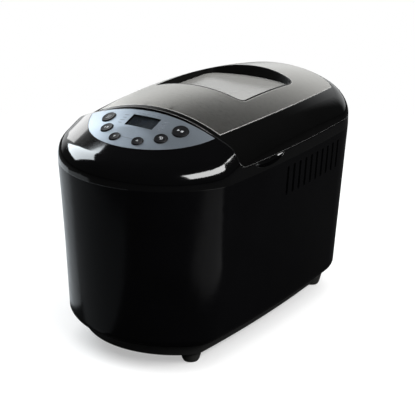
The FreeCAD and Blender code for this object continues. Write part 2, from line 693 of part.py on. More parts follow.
def top_deck():
    """Gloss deck: control hump in front, flat bay under the lid with the oven mouth, hinge cover behind."""
    seam, top, wall, gap = size("seam"), size("deck_top"), size("deck_wall"), size("bay_gap")
    ceiling = 2 * size("crown_top")
    outer_form = deck_form()
    outer = outer_form.cut(lid_plan(gap, top, ceiling))
    inner = deck_form(wall).cut(lid_plan(gap + wall, top - wall, ceiling))
    outer = outer.cut(block(-size("width"), size("width"), -size("depth"), size("depth"), 0, seam))
    deck = outer.cut(inner)
    thick = size("tongue_gap") + size("housing_wall") + size("tongue_thickness")
    register = prism(casing_outline(0), seam, seam + wall).cut(prism(casing_outline(0, 1, thick), 0, ceiling))
    tongue = prism(casing_outline(0, 1, thick - size("tongue_thickness")), seam - size("tongue"), seam + wall)
    tongue = tongue.cut(prism(casing_outline(0, 1, thick), 0, ceiling))
    dents = [dent.common(outer) for dent in finger_scoop(wall)]
    bosses = [boss.common(outer_form) for boss in board_bosses()]
    roll, hinge_cuts = hinge_cover()
    behind = prism(casing_outline(0), top - wall / 2, ceiling)
    deck = deck.fuse([register, tongue, roll.common(behind)] + dents + bosses)
    skin = panel_solid().cut(panel_solid(size("fascia_thickness")))
    cuts = [skin.common(lens_prism(size("fascia_gap"))), display_prism(size("button_gap"))]
    cuts += button_holes(2 * size("button_gap"))
    cuts += [mouth_prism(seam, ceiling)] + finger_scoop(0) + hinge_cuts
    blind = top - size("deck_screw_cover")
    cuts += [bench_cylinder(size("screw_radius") + size("screw_gap"), seam, blind, x, y)
             for x, y in deck_screw_places()]
    deck = deck.cut(cuts).removeSplitter()
    return new_solid("top_deck", deck)


# Lid


def crown_solid(inset=0.0):
    """Everything under the double-curved crown: a flat arc across, swung round a far axis along."""
    across, half = size("crown_across") - inset, size("width") / 2 + 3 * size("lid_reach")
    centre, axis = size("crown_top") - size("crown_across"), size("crown_top") - size("crown_along")
    edge = centre + math.sqrt(across ** 2 - half ** 2)
    left, right = Vector(-half, 0, edge), Vector(half, 0, edge)
    low_left, low_right = Vector(-half, 0, axis + half), Vector(half, 0, axis + half)
    middle = Vector(0, size("crown_middle"), 0)
    profile = Part.Wire([
        Part.Arc(left, Vector(0, 0, centre + across), right).toShape(),
        Part.LineSegment(right, low_right).toShape(),
        Part.LineSegment(low_right, low_left).toShape(),
        Part.LineSegment(low_left, left).toShape(),
    ])
    swing = math.degrees(size("depth") / size("crown_along"))
    face = Part.Face(profile)
    face.rotate(Vector(0, 0, axis), Vector(1, 0, 0), -swing)
    return face.revolve(Vector(0, 0, axis), Vector(1, 0, 0), 2 * swing).translated(middle)


def lid_form(inset=0.0):
    """Outer form of the lid: plan prism under the double-curved crown, with a broad round shoulder."""
    def is_crown(face):
        return isinstance(face.Surface, Part.Toroid)

    crown = crown_solid(inset)
    bottom = size("deck_top") + size("lid_gap")
    column = prism(casing_outline(0, 1, inset), size("casing_bottom"), size("crown_top") * 2)
    form = column.common(crown).Solids[0]
    form = form.makeFillet(size("shoulder") - inset, top_edges(form, is_crown))
    return form.common(lid_plan(-inset, bottom, size("crown_top") * 2))


def well_prism(grow, bottom, top):
    """Upright prism over the window well, with a bowed rear side and rounded corners."""
    half, bow = size("well_half_width") + grow, size("well_bow")
    well = block(-half, half, size("well_front") - grow, size("depth"), bottom, top)
    well = well.common(bench_cylinder(bow + grow, bottom, top, 0, size("well_rear") - bow))
    front_round = max(size("well_front_round") + grow, size("well_wall"))
    middle = (size("well_front") + size("well_rear")) / 2
    near = [edge for edge in well.Edges if is_upright(edge) and edge.CenterOfMass.y < middle]
    well = well.makeFillet(front_round, near)
    far = [edge for edge in well.Edges if is_upright(edge) and edge.CenterOfMass.y > middle]
    return well.makeFillet(size("well_rear_round") + grow, far)


def plate_prism(grow):
    """Plan of the steel top plate: bowed sides inside the shoulders, front just behind the lid's lip."""
    low, high, bow = size("deck_top") + size("shoulder") / 2, 2 * size("crown_top"), size("plate_bow")
    plan = prism(casing_outline(0, 1, size("plate_inset") - grow), low, high)
    for side in (-1, 1):
        centre = side * (size("plate_half_width") - bow)
        plan = plan.common(bench_cylinder(bow + grow, low, high, centre, size("crown_middle")))
    front = size("lid_front") + grow - size("plate_lip")
    return plan.common(block(-bow, bow, -front, size("depth"), low, high))


def lid_skin():
    """The outermost sheet thickness of the lid's form."""
    return lid_form().cut(lid_form(size("plate_thickness")))


def lid_top_plate():
    """Brushed steel sheet over the crown, cut out for the window well."""
    plate = lid_skin().common(plate_prism(0))
    opening = well_prism(size("well_gap"), size("seam"), 2 * size("crown_top"))
    return new_solid("lid_top_plate", plate.cut(opening))


def lid_lugs(roof):
    """Hinge lugs: barrels on the pins with arms up into the lid, kept under the given roof form."""
    y, z, barrel_radius = size("hinge_y"), size("hinge_z"), size("barrel_radius")
    lugs = []
    for side in (-1, 1):
        left = side * size("lug_x") - size("lug_width") / 2
        right = left + size("lug_width")
        arm = block(left, right, y - barrel_radius, y + size("lug_back"), z, z + size("lug_arm"))
        lugs.append(arm.common(roof).fuse(cross_cylinder(barrel_radius, left, right, y, z)))
    return lugs


def liner_bosses(roof):
    """Screw bosses from the lid's roof down to the liner's flange."""
    flange = liner_bottom() + size("liner_sheet")
    screw_top = liner_bottom() + size("screw_length")
    bosses = []
    for x, y in liner_screw_places():
        boss = bench_cylinder(size("liner_boss"), flange, size("crown_top"), x, y).common(roof)
        bosses.append(boss.cut(bench_cylinder(size("screw_radius") + size("screw_gap"), 0, screw_top, x, y)))
    return bosses


def lid_shell():
    """Black lid shell: seat for the steel plate, window opening, hinge lugs, relief round the hinge."""
    y, z, half = size("hinge_y"), size("hinge_z"), size("cover_half_length") + size("cover_gap")
    shell = lid_form().cut(lid_form(size("plate_thickness") + size("lid_wall")))
    clear = size("cover_radius") + size("cover_gap")
    reliefs = [cross_cylinder(clear, -half, half, y, z),
               block(-size("width"), size("width"), y, size("depth"), 0, z + clear)]
    seat = lid_skin().common(plate_prism(size("plate_gap")))
    opening = well_prism(size("well_gap"), size("seam"), 2 * size("crown_top"))
    roof = lid_form(size("plate_thickness") + size("lid_wall") / 2)
    shell = shell.cut(reliefs + [seat, opening]).fuse(lid_lugs(roof) + liner_bosses(roof))
    bore = cross_cylinder(size("pin_radius") + size("pin_gap"), -half, half, y, z)
    return new_solid("lid_shell", shell.cut(bore).removeSplitter())


def hinge_pins():
    """Two steel pins through the cover's cheeks and the lid's lugs."""
    return new_solid("hinge_pins", Part.makeCompound(pin_bars(size("pin_radius"))))


def window_frame():
    """Sunken black frame: walls down from the crown and a ledge for the glass."""
    glass_bottom = size("glass_top") - size("glass_thickness")
    low = glass_bottom - size("ledge_thickness")
    ceiling = 2 * size("crown_top")
    frame = well_prism(0, low, ceiling).common(lid_form())
    inside = well_prism(-size("well_wall"), glass_bottom, ceiling)
    light = well_prism(-size("well_wall") - size("ledge_width"), 0, ceiling)
    return new_solid("window_frame", frame.cut([inside, light]))


def window_glass():
    """Outer pane on the frame's ledge."""
    top = size("glass_top")
    pane = well_prism(-size("well_wall") - size("glass_gap"), top - size("glass_thickness"), top)
    return new_solid("window_glass", pane)


def liner_top():
    """Height of the liner's roof, one inner pane below the window frame."""
    return size("glass_top") - size("glass_thickness") - size("ledge_thickness") - size("pane_thickness")


def inner_glass():
    """Inner pane between the liner's roof and the window frame."""
    grow = -size("liner_hole_margin") + size("pane_overlap")
    return new_solid("inner_glass", well_prism(grow, liner_top(), liner_top() + size("pane_thickness")))


def liner_box(grow, bottom, top):
    half, corner = size("liner_half_width") + grow, size("liner_round") + grow
    wire = rounded_wire(-half, half, size("liner_front") - grow, size("liner_rear") + grow, corner, corner)
    return prism(wire, bottom, top)


def liner_bottom():
    """Height of the underside of the liner's flange."""
    return size("deck_top") + size("lid_gap") + size("liner_lift")


def lid_liner():
    """Pressed sheet lining of the lid: flange, raised roof over the pan and a window opening."""
    thickness, roof, bottom = size("liner_sheet"), liner_top(), liner_bottom()
    inside = liner_box(-thickness, 0, roof - thickness)
    hat = liner_box(0, bottom, roof).cut(inside)
    flange = liner_box(size("liner_flange"), bottom, bottom + thickness).cut(inside)
    light = well_prism(-size("liner_hole_margin"), 0, 2 * roof)
    holes = [bench_cylinder(size("screw_radius") + size("screw_gap"), 0, roof, x, y)
             for x, y in liner_screw_places()]
    return new_solid("lid_liner", hat.fuse(flange).cut([light] + holes).removeSplitter())


def liner_screw_places():
    x = size("liner_half_width") + size("liner_flange") / 2
    return [(side * x, y) for side in (-1, 1)
            for y in (size("liner_front") + size("liner_round"), size("liner_rear") - size("liner_round"))]


# Oven and chassis


def oven_chamber():
    """Sheet-steel oven with a flange under the deck and holes for shaft, element and probe."""
    half, reach, centre = size("oven_width") / 2, size("oven_length") / 2, size("oven_centre")
    sheet_thickness, corner = size("oven_sheet"), size("oven_round")
    floor = size("chassis_bottom") + size("chassis_sheet")
    top = size("deck_top") - size("deck_wall")

    def shaft_box(grow, bottom, height):
        wire = rounded_wire(-half - grow, half + grow, centre - reach - grow, centre + reach + grow,
                            corner + grow, corner + grow)
        return prism(wire, bottom, height)

    box = shaft_box(sheet_thickness, floor, top)
    flange = shaft_box(sheet_thickness + size("oven_flange"), top - sheet_thickness, top)
    box = box.fuse(flange).cut(shaft_box(0, floor + sheet_thickness, top))
    cuts = [bench_cylinder(size("bearing_radius") + size("bearing_gap"), 0, floor + top / 2, 0, centre)]
    cuts += [Part.makeCylinder(size("bushing_radius") + size("bushing_gap"), half, Vector(-2 * half, y, z),
                               Vector(1, 0, 0)).translated(Vector(half / 2, 0, 0)) for y, z in element_ends()]
    probe = Vector(size("probe_x"), centre - reach * 1.5, size("probe_height"))
    cuts.append(Part.makeCylinder(size("probe_radius") + size("bushing_gap"), reach, probe, Vector(0, 1, 0)))
    cuts += [bench_cylinder(size("screw_radius") + size("screw_gap"), top / 2, top * 2, x, y)
             for x, y in deck_screw_places()]
    return new_solid("oven_chamber", box.cut(cuts).removeSplitter())


def element_ends():
    """Places, in y and z, where the element's tails leave through the left wall."""
    return [(size("oven_centre") + end * size("element_tail"), size("element_height")) for end in (-1, 1)]


def rounded_path(points, radii):
    """A wire of straight runs joined by tangent arcs of the given radii at the inner points."""
    edges = []
    start = points[0]
    for before, corner, after, radius in zip(points, points[1:], points[2:], radii):
        back, ahead = (before - corner).normalize(), (after - corner).normalize()
        half_turn = back.getAngle(ahead) / 2
        reach = radius / math.tan(half_turn)
        first, last = corner + back * reach, corner + ahead * reach
        middle = corner + (back + ahead).normalize() * (radius / math.sin(half_turn) - radius)
        edges.append(Part.LineSegment(start, first).toShape())
        edges.append(Part.Arc(first, middle, last).toShape())
        start = last
    edges.append(Part.LineSegment(start, points[-1]).toShape())
    return Part.Wire(edges)


def tube(path, radius):
    """Round bar along a path."""
    start = path.OrderedVertexes[0].Point
    way = path.OrderedEdges[0].tangentAt(path.OrderedEdges[0].FirstParameter)
    section = Part.Wire([Part.Circle(start, way, radius).toShape()])
    return path.makePipeShell([section], True, False)


def heating_element():
    """Tubular heater: one open loop round the pan's foot with both tails out of the left wall."""
    half, reach, z = size("element_half_width"), size("element_half_length"), size("element_height")
    centre, tail = size("oven_centre"), size("element_tail")
    out = -size("oven_width") / 2 - size("element_out")
    route = [(out, -tail), (-half, -tail), (-half, -reach), (half, -reach),
             (half, reach), (-half, reach), (-half, tail), (out, tail)]
    points = [Vector(x, centre + y, z) for x, y in route]
    bend, turn = size("element_bend"), size("element_tail_bend")
    return new_solid("heating_element", tube(rounded_path(points, [turn, bend, bend, bend, bend, turn]),
                                             size("element_radius")))


def element_bushings():
    """Two ceramic bushings that carry the element's tails in the oven wall."""
    length = size("bushing_length")
    x = -size("oven_width") / 2 + size("bushing_inside") - length
    rings = []
    for y, z in element_ends():
        hole = cross_cylinder(size("element_radius") + size("bushing_gap"), x, x + length, y, z)
        rings.append(cross_cylinder(size("bushing_radius"), x, x + length, y, z).cut(hole))
    return new_solid("element_bushings", Part.makeCompound(rings))


def temperature_probe():
    """Probe through the oven's front wall with a collar outside."""
    wall = size("oven_centre") - size("oven_length") / 2
    inside, x, z = size("probe_inside"), size("probe_x"), size("probe_height")
    stem = Part.makeCylinder(size("probe_radius"), size("probe_length"),
                             Vector(x, wall + inside - size("probe_length"), z), Vector(0, 1, 0))
    length = size("probe_collar_length")
    collar = Part.makeCylinder(size("probe_collar"), length,
                               Vector(x, wall - size("oven_sheet") - length, z), Vector(0, 1, 0))
    return new_solid("temperature_probe", stem.fuse(collar).removeSplitter())


def chassis_plate():
    """Steel plate on the tray's posts that carries motor, bearing, oven and shield."""
    body = new_body("chassis_plate", z="chassis_bottom")
    sketch = new_sketch(body)
    rectangle(sketch, "-chassis_half_width", "chassis_half_width", "chassis_front", "chassis_rear")
    pad(body, sketch, "chassis_sheet")
    round_edges(body, "chassis_round", is_upright)
    holes = new_sketch(body, "chassis_sheet")
    circle(holes, "bearing_radius + bearing_gap", y="oven_centre")
    circle(holes, "motor_hole", y="-motor_forward")
    for x in ("-motor_ear", "motor_ear"):
        circle(holes, "screw_radius + screw_gap", x, "-motor_forward")
    for x in ("-post_x", "post_x"):
        for y in ("post_front_y", "post_rear_y"):
            circle(holes, "screw_radius + screw_gap", x, y)
    pocket(body, holes, "2 * chassis_sheet")


# Pan


def pan_seat():
    """Flanged ring on the oven floor that locates the pan."""
    body = new_body("pan_seat", y="oven_centre", z="chassis_bottom + chassis_sheet + oven_sheet")
    inner = "bearing_radius + bearing_gap"
    revolve(body, [
        (inner, "0"), ("seat_radius + seat_flange", "0"), ("seat_radius + seat_flange", "seat_sheet"),
        ("seat_radius + seat_wall", "seat_sheet"), ("seat_radius + seat_wall", "seat_height"),
        ("seat_radius", "seat_height"), ("seat_radius", "seat_sheet"), (inner, "seat_sheet"),
    ])


def pan_tub(grow, low, high):
    """Tapered tub with rounded corners between two heights."""
    narrowing = math.tan(math.radians(size("pan_taper")))
    centre = size("oven_centre")
    wires = []
    for z in (low, high):
        step = grow - (size("pan_rim") - z) * narrowing
        half, reach = size("pan_half_width") + step, size("pan_half_length") + step
        corner = size("pan_round") + grow
        wire = rounded_wire(-half, half, centre - reach, centre + reach, corner, corner)
        wire.translate(Vector(0, 0, z))
        wires.append(wire)
    tub = Part.makeLoft(wires, True, True)
    floor = [edge for edge in tub.Edges if edge.BoundBox.ZMax < low + 0.01]
    return tub.makeFillet(size("pan_floor_round") + grow, floor)


def pivot_height():
    """Height of the handle's pivots in the pan's ears."""
    return size("pan_rim") + size("rim_thickness") + size("pivot_rise")


def pan_ears():
    """Two upright ears on the rim that carry the handle."""
    centre, length = size("oven_centre"), size("ear_half_length")
    outer = size("pan_half_width") + size("rim_width")
    ears = []
    for left in (-outer, outer - size("ear_thickness")):
        right = left + size("ear_thickness")
        root = block(left, right, centre - length, centre + length, size("pan_rim"), pivot_height())
        ears.append(root.fuse(cross_cylinder(length, left, right, centre, pivot_height())))
    return ears


def bread_pan():
    """Tapered pan with a rim, a foot ring for the seat and ears for the handle."""
    bottom, rim, wall, centre = size("pan_bottom"), size("pan_rim"), size("pan_wall"), size("oven_centre")
    top = rim + size("rim_thickness")
    half, reach = size("pan_half_width") + size("rim_width"), size("pan_half_length") + size("rim_width")
    corner = size("pan_round") + size("rim_width")
    lip = prism(rounded_wire(-half, half, centre - reach, centre + reach, corner, corner), rim, top)
    seat_floor = size("chassis_bottom") + size("chassis_sheet") + size("oven_sheet") + size("seat_sheet")
    ring_radius = size("seat_radius") - size("foot_ring_gap")
    ring = bench_cylinder(ring_radius, seat_floor, bottom + wall / 2, 0, centre)
    ring = ring.cut(bench_cylinder(ring_radius - size("foot_ring_wall"), 0, top, 0, centre))
    pan = pan_tub(0, bottom, rim).fuse([lip])
    pan = pan.cut(pan_tub(-wall, bottom + wall, top + wall)).fuse([ring] + pan_ears())
    width = size("width")
    cuts = [bench_cylinder(size("pan_bearing_radius") + size("screw_gap"), 0, rim, 0, centre),
            cross_cylinder(size("handle_wire") + size("handle_gap"), -width, width, centre, pivot_height())]
    return new_solid("bread_pan", pan.cut(cuts).removeSplitter())


def pan_handle():
    """Wire bail with a grip, lying back at rest, its ends through the pan's ears."""
    z = pivot_height()
    y, side = size("oven_centre"), size("handle_side")
    inner = size("pan_half_width") + size("rim_width") - size("ear_thickness") - size("handle_inside")
    rear = y + size("handle_reach")
    points = [Vector(inner, y, z), Vector(side, y, z), Vector(side, rear, z),
              Vector(-side, rear, z), Vector(-side, y, z), Vector(-inner, y, z)]
    bend = size("handle_bend")
    tight = size("handle_wire") * 1.05
    bail = tube(rounded_path(points, [tight, bend, bend, tight]), size("handle_wire"))
    grip = cross_cylinder(size("grip_radius"), -size("grip_half_length"), size("grip_half_length"), rear, z)
    return new_solid("pan_handle", bail.fuse(grip).removeSplitter())


def pan_bearing():
    """Bearing through the pan's floor with a flange below it."""
    body = new_body("pan_bearing", y="oven_centre", z="pan_bottom")
    bore = "shaft_radius + shaft_gap"
    revolve(body, [
        (bore, "-pan_wall"), ("pan_bearing_flange", "-pan_wall"), ("pan_bearing_flange", "0"),
        ("pan_bearing_radius", "0"), ("pan_bearing_radius", "pan_bearing_inside"),
        (bore, "pan_bearing_inside"),
    ])


def coupling_top():
    """Height of the drive coupling's disc, as an expression."""
    return "(bearing_top + coupling_lift + coupling_height)"


def pan_shaft():
    """Paddle shaft in the pan's bearing: cross dog below, flat for the paddle above."""
    body = new_body("pan_shaft", y="oven_centre")
    low = f"({coupling_top()} + dog_lift)"
    top = "pan_bottom + pan_bearing_inside + paddle_lift + paddle_hub_height"
    dog = new_sketch(body, low)
    rectangle(dog, "-dog_length / 2", "dog_length / 2", "-dog_width / 2", "dog_width / 2")
    pad(body, dog, "dog_height")
    stem = new_sketch(body, low)
    circle(stem, "shaft_radius")
    pad(body, stem, f"{top} - {low}")
    flat = new_sketch(body, f"{top} + 1")
    rectangle(flat, "-2 * shaft_radius", "2 * shaft_radius", "shaft_radius - flat_depth", "2 * shaft_radius")
    pocket(body, flat, "paddle_hub_height + 1")


def kneading_paddle():
    """Paddle: hub with a flatted bore and one sloping blade with rounded tip."""
    body = new_body("kneading_paddle", y="oven_centre", z="pan_bottom + pan_bearing_inside + paddle_lift")
    hub = new_sketch(body)
    circle(hub, "paddle_hub_radius")
    pad(body, hub, "paddle_hub_height", "-2")
    blade = new_sketch(body, "-paddle_thickness / 2", "XZ_Plane")
    polygon(blade, [("0", "0.5"), ("paddle_reach", "0.5"), ("paddle_reach", "paddle_height * 0.6"),
                    ("paddle_reach * 0.7", "paddle_height"), ("0", "paddle_height")])
    pad(body, blade, "paddle_thickness")
    round_edges(body, "paddle_thickness * 0.4", is_blade_edge)
    bore = new_sketch(body, "paddle_hub_height + 1")
    circle(bore, "shaft_radius + shaft_gap")
    pocket(body, bore, "paddle_hub_height + 2")


def is_blade_edge(edge):
    return edge.CenterOfMass.x > size("paddle_hub_radius") * 1.5 and edge.BoundBox.YLength < 0.1


# Drive


def drive_shaft():
    body = new_body("drive_shaft", y="oven_centre", z="shaft_bottom")
    sketch = new_sketch(body)
    circle(sketch, "shaft_radius")
    pad(body, sketch, f"{coupling_top()} - shaft_bottom")


def shaft_bearing():
    """Flanged bearing up through chassis and oven floor."""
    body = new_body("shaft_bearing", y="oven_centre")
    bore = "shaft_radius + shaft_gap"
    flange = "chassis_bottom - bearing_flange_thickness"
    revolve(body, [
        (bore, "bearing_bottom"), ("bearing_radius", "bearing_bottom"), ("bearing_radius", flange),
        ("bearing_flange", flange), ("bearing_flange", "chassis_bottom"),
        ("bearing_radius", "chassis_bottom"),
        ("bearing_radius", "bearing_top"), (bore, "bearing_top"),
    ])


def drive_coupling():
    """Driver on top of the shaft: disc with two upright pins beside the dog of the pan's shaft."""
    body = new_body("drive_coupling", y="oven_centre", z="bearing_top + coupling_lift")
    disc = new_sketch(body)
    circle(disc, "coupling_radius")
    circle(disc, "shaft_radius")
    pad(body, disc, "coupling_height")
    pins = new_sketch(body, "coupling_height")
    beside = "(dog_width / 2 + dog_pin_radius + dog_gap)"
    circle(pins, "dog_pin_radius", x=f"sqrt(dog_pin_at ^ 2 - {beside} ^ 2)", y=beside)
    pin = pad(body, pins, "dog_pin_height")
    repeat_round(body, pin, pins, "2")


def pulley(label, radius, y, hub):
    """Flanged flat-belt pulley turned about its shaft."""
    body = new_body(label, y=y, z="pulley_bottom")
    outer = f"{radius} + pulley_lip"
    revolve(body, [
        ("shaft_radius", "0"), (outer, "0"), (outer, "pulley_flange"), (radius, "pulley_flange"),
        (radius, "pulley_width - pulley_flange"), (outer, "pulley_width - pulley_flange"),
        (outer, "pulley_width"), ("shaft_radius", "pulley_width"),
    ])
    if hub:
        for lift, reverse in (("pulley_width", False), ("0", True)):
            dish = new_sketch(body, lift)
            circle(dish, f"{radius} - pulley_rim")
            circle(dish, "pulley_hub")
            face = pocket(body, dish, "(pulley_width - pulley_web) / 2")
            face.Reversed = reverse
        holes = new_sketch(body, "pulley_width")
        circle(holes, "pulley_hole", x="pulley_hole_at")
        hole = pocket(body, holes, "pulley_width")
        repeat_round(body, hole, holes, "pulley_hole_count")
    return body


def belt_loop(grow):
    """Closed belt line round both pulleys: two arcs and their outer tangents."""
    big, small = size("big_pulley_radius") + grow, size("small_pulley_radius") + grow
    far, near = size("oven_centre"), -size("motor_forward")
    lean = math.asin((big - small) / (far - near))
    out, back = math.cos(lean), math.sin(lean)
    big_right = Vector(big * out, far - big * back, 0)
    small_right = Vector(small * out, near - small * back, 0)
    edges = [
        Part.LineSegment(small_right, big_right).toShape(),
        Part.Arc(big_right, Vector(0, far + big, 0), mirrored(big_right)).toShape(),
        Part.LineSegment(mirrored(big_right), mirrored(small_right)).toShape(),
        Part.Arc(mirrored(small_right), Vector(0, near - small, 0), small_right).toShape(),
    ]
    return Part.Wire(edges)


def drive_belt():
    """Flat belt between the pulleys' flanges."""
    low = size("pulley_bottom") + (size("pulley_width") - size("belt_width")) / 2
    gap = size("belt_gap")
    loop = prism(belt_loop(gap + size("belt_thickness")), low, low + size("belt_width"))
    return new_solid("drive_belt", loop.cut(prism(belt_loop(gap), 0, 2 * low + size("belt_width"))))


# Motor


def motor_housing():
    """Motor can on the chassis with end plates, shaft bores and two fixing ears."""
    body = new_body("motor_housing", y="-motor_forward", z="chassis_bottom + chassis_sheet")
    bore, inside = "shaft_radius + shaft_gap", "motor_radius - motor_shell"
    revolve(body, [
        (bore, "0"), ("motor_radius", "0"), ("motor_radius", "motor_height"), (bore, "motor_height"),
        (bore, "motor_height - motor_plate"), (inside, "motor_height - motor_plate"),
        (inside, "motor_plate"), (bore, "motor_plate"),
    ])
    arms = new_sketch(body)
    rectangle(arms, "motor_radius - motor_shell", "motor_ear", "-motor_ear_radius", "motor_ear_radius")
    arm = pad(body, arms, "motor_plate")
    ends = new_sketch(body)
    circle(ends, "motor_ear_radius", x="motor_ear")
    end = pad(body, ends, "motor_plate")
    pattern = repeat_round(body, arm, arms, "2")
    pattern.Originals = [arm, end]
    holes = new_sketch(body, "motor_plate")
    circle(holes, "screw_radius + screw_gap", x="motor_ear")
    hole = pocket(body, holes, "motor_plate")
    repeat_round(body, hole, holes, "2")


def motor_stator():
    body = new_body("motor_stator", y="-motor_forward",
                    z="chassis_bottom + chassis_sheet + (motor_height - stator_height) / 2")
    sketch = new_sketch(body)
    circle(sketch, "motor_radius - motor_shell - stator_gap")
    circle(sketch, "stator_bore")
    pad(body, sketch, "stator_height")


def motor_rotor():
    """Rotor drum and shaft in one: the shaft runs from below the pulley to above the fan."""
    body = new_body("motor_rotor", y="-motor_forward")
    middle = "(chassis_bottom + chassis_sheet + motor_height / 2)"
    top = "chassis_bottom + chassis_sheet + motor_height + shaft_above"
    revolve(body, [
        ("0", "shaft_bottom"), ("shaft_radius", "shaft_bottom"),
        ("shaft_radius", f"{middle} - rotor_height / 2"),
        ("rotor_radius", f"{middle} - rotor_height / 2"), ("rotor_radius", f"{middle} + rotor_height / 2"),
        ("shaft_radius", f"{middle} + rotor_height / 2"), ("shaft_radius", top), ("0", top),
    ])


def motor_fan():
    """Cooling fan above the motor: hub with a ring of radial blades."""
    body = new_body("motor_fan", y="-motor_forward",
                    z="chassis_bottom + chassis_sheet + motor_height + fan_lift")
    hub = new_sketch(body)
    circle(hub, "fan_hub")
    circle(hub, "shaft_radius")
    pad(body, hub, "fan_height")
    blades = new_sketch(body)
    rectangle(blades, "fan_hub - 1", "fan_radius", "-fan_blade / 2", "fan_blade / 2")
    blade = pad(body, blades, "fan_height")
    repeat_round(body, blade, blades, "fan_count")


# Electronics


SHIELD_FACE = "oven_centre - oven_length / 2 - shield_gap"
BOARD_FACE = f"{SHIELD_FACE} - standoff_length - power_board_thickness"


def heat_shield():
    """Sheet screen between oven and motor, footed on the chassis."""
    body = new_body("heat_shield", y=SHIELD_FACE, z="chassis_bottom + chassis_sheet")
    sketch = new_sketch(body, plane="YZ_Plane", lift="-shield_half_width")
    top = "shield_top - chassis_bottom - chassis_sheet"
    polygon(sketch, [("0", "0"), ("shield_foot", "0"), ("shield_foot", "shield_sheet"),
                     ("shield_sheet", "shield_sheet"), ("shield_sheet", top), ("0", top)])
    pad(body, sketch, "2 * shield_half_width")


def power_board():
    """Power board on four standoffs in front of the heat shield."""
    body = new_body("power_board", y=SHIELD_FACE)
    posts = new_sketch(body, plane="XZ_Plane")
    for x in ("power_board_half_width - standoff_margin", "standoff_margin - power_board_half_width"):
        for z in ("power_board_low + standoff_margin", "power_board_high - standoff_margin"):
            circle(posts, "standoff_radius", x, z)
    pad(body, posts, "standoff_length")
    board = new_sketch(body, "standoff_length", "XZ_Plane")
    rectangle(board, "-power_board_half_width", "power_board_half_width",
              "power_board_low", "power_board_high")
    pad(body, board, "power_board_thickness")


def transformer():
    """Small transformer on the power board: winding block and iron core."""
    body = new_body("power_transformer", x="transformer_x",
                    y=BOARD_FACE,
                    z="(power_board_low + power_board_high) / 2")
    winding = new_sketch(body, plane="XZ_Plane")
    rectangle(winding, "-transformer_width / 2", "transformer_width / 2",
              "-transformer_height / 2", "transformer_height / 2")
    pad(body, winding, "transformer_depth")
    core = new_sketch(body, "(transformer_depth - core_thickness) / 2", "XZ_Plane")
    rectangle(core, "-transformer_width / 2 - core_overhang", "transformer_width / 2 + core_overhang",
              "-transformer_height / 2 - core_overhang", "transformer_height / 2 + core_overhang")
    pad(body, core, "core_thickness")


def motor_capacitor():
    """Motor capacitor standing on the power board."""
    body = new_body("motor_capacitor", x="capacitor_x",
                    y=BOARD_FACE,
                    z="(power_board_low + power_board_high) / 2")
    can = new_sketch(body, plane="XZ_Plane")
    circle(can, "capacitor_radius")
    pad(body, can, "capacitor_height")


def cord_gland():
    """Bare cord gland in the rear wall, low on the left; the cord itself is left out."""
    share = (size("gland_height") - size("casing_bottom")) / (size("seam") - size("casing_bottom"))
    wall = rear_end() - size("rear_lean") * (1 - share) - size("gland_x") ** 2 / (2 * size("rear_bow"))
    x, z, thick = size("gland_x"), size("gland_height"), size("gland_flange_thickness")
    way = Vector(0, 1, 0)
    stem = Part.makeCylinder(size("gland_radius"), size("gland_length"),
                             Vector(x, wall - size("gland_length") + thick, z), way)
    flange = Part.makeCone(size("gland_flange"), size("gland_radius"), thick, Vector(x, wall, z), way)
    reach = size("gland_flange") * abs(size("gland_x")) / size("rear_bow") + size("gland_gap")
    flange.translate(Vector(0, reach, 0))
    stem.translate(Vector(0, reach, 0))
    bore = Part.makeCylinder(size("gland_bore"), size("depth"), Vector(x, 0, z), way)
    return new_solid("cord_gland", stem.fuse(flange).cut(bore).removeSplitter())


# Fastenings


def screw(x, y, z, length, way):
    """Pan-head screw: the head rests on the face at height z, way is 1 for a head on top."""
    head = Part.makeCone(size("screw_head"), size("screw_head") * 0.7, size("screw_head_height"),
                         Vector(x, y, z), Vector(0, 0, way))
    stem = Part.makeCylinder(size("screw_radius"), length, Vector(x, y, z), Vector(0, 0, -way))
    return head.fuse(stem).removeSplitter()


def screw_group(label, places, z, length, way):
    """Identical screws as one group of separate solids."""
    return new_solid(label, Part.makeCompound([screw(x, y, z, length, way) for x, y in places]))


def motor_screw_places():
    return [(x, -size("motor_forward")) for x in (-size("motor_ear"), size("motor_ear"))]


def fastenings():
    """Screw groups of the base, chassis, motor, deck and lid liner."""
    length = size("screw_length")
    recess = size("base_bottom") + size("base_wall") + size("screw_head_height")
    chassis_top = size("chassis_bottom") + size("chassis_sheet")
    under_flange = size("deck_top") - size("deck_wall") - size("oven_sheet")
    deck_length = size("deck_wall") + size("oven_sheet") - size("deck_screw_cover") - size("screw_gap")
    screw_group("base_screws", base_screw_places(), recess, size("base_screw_length"), -1)
    screw_group("chassis_screws", post_places(), recess, chassis_top - recess - size("screw_gap"), -1)
    screw_group("motor_screws", motor_screw_places(), chassis_top + size("motor_plate"), length, 1)
    screw_group("deck_screws", deck_screw_places(), under_flange, deck_length, -1)
    screw_group("liner_screws", liner_screw_places(), liner_bottom(), length, -1)


def build():
    outer_housing()
    base_plate()
    rubber_feet()
    top_deck()
    control_fascia()
    display_window()
    display_module()
    control_board()
    buttons()
    lid_shell()
    lid_top_plate()
    window_frame()
    window_glass()
    inner_glass()
    lid_liner()
    hinge_pins()
    oven_chamber()
    heating_element()
    element_bushings()
    temperature_probe()
    chassis_plate()
    pan_seat()
    bread_pan()
    pan_handle()
    pan_bearing()
    pan_shaft()
    kneading_paddle()
    drive_shaft()
    shaft_bearing()
    drive_coupling()
    pulley("large_pulley", "big_pulley_radius", "oven_centre", True)
    pulley("motor_pulley", "small_pulley_radius", "-motor_forward", False)
    drive_belt()
    motor_housing()
    motor_stator()
    motor_rotor()
    motor_fan()
    heat_shield()
    power_board()
    transformer()
    motor_capacitor()
    cord_gland()
    fastenings()


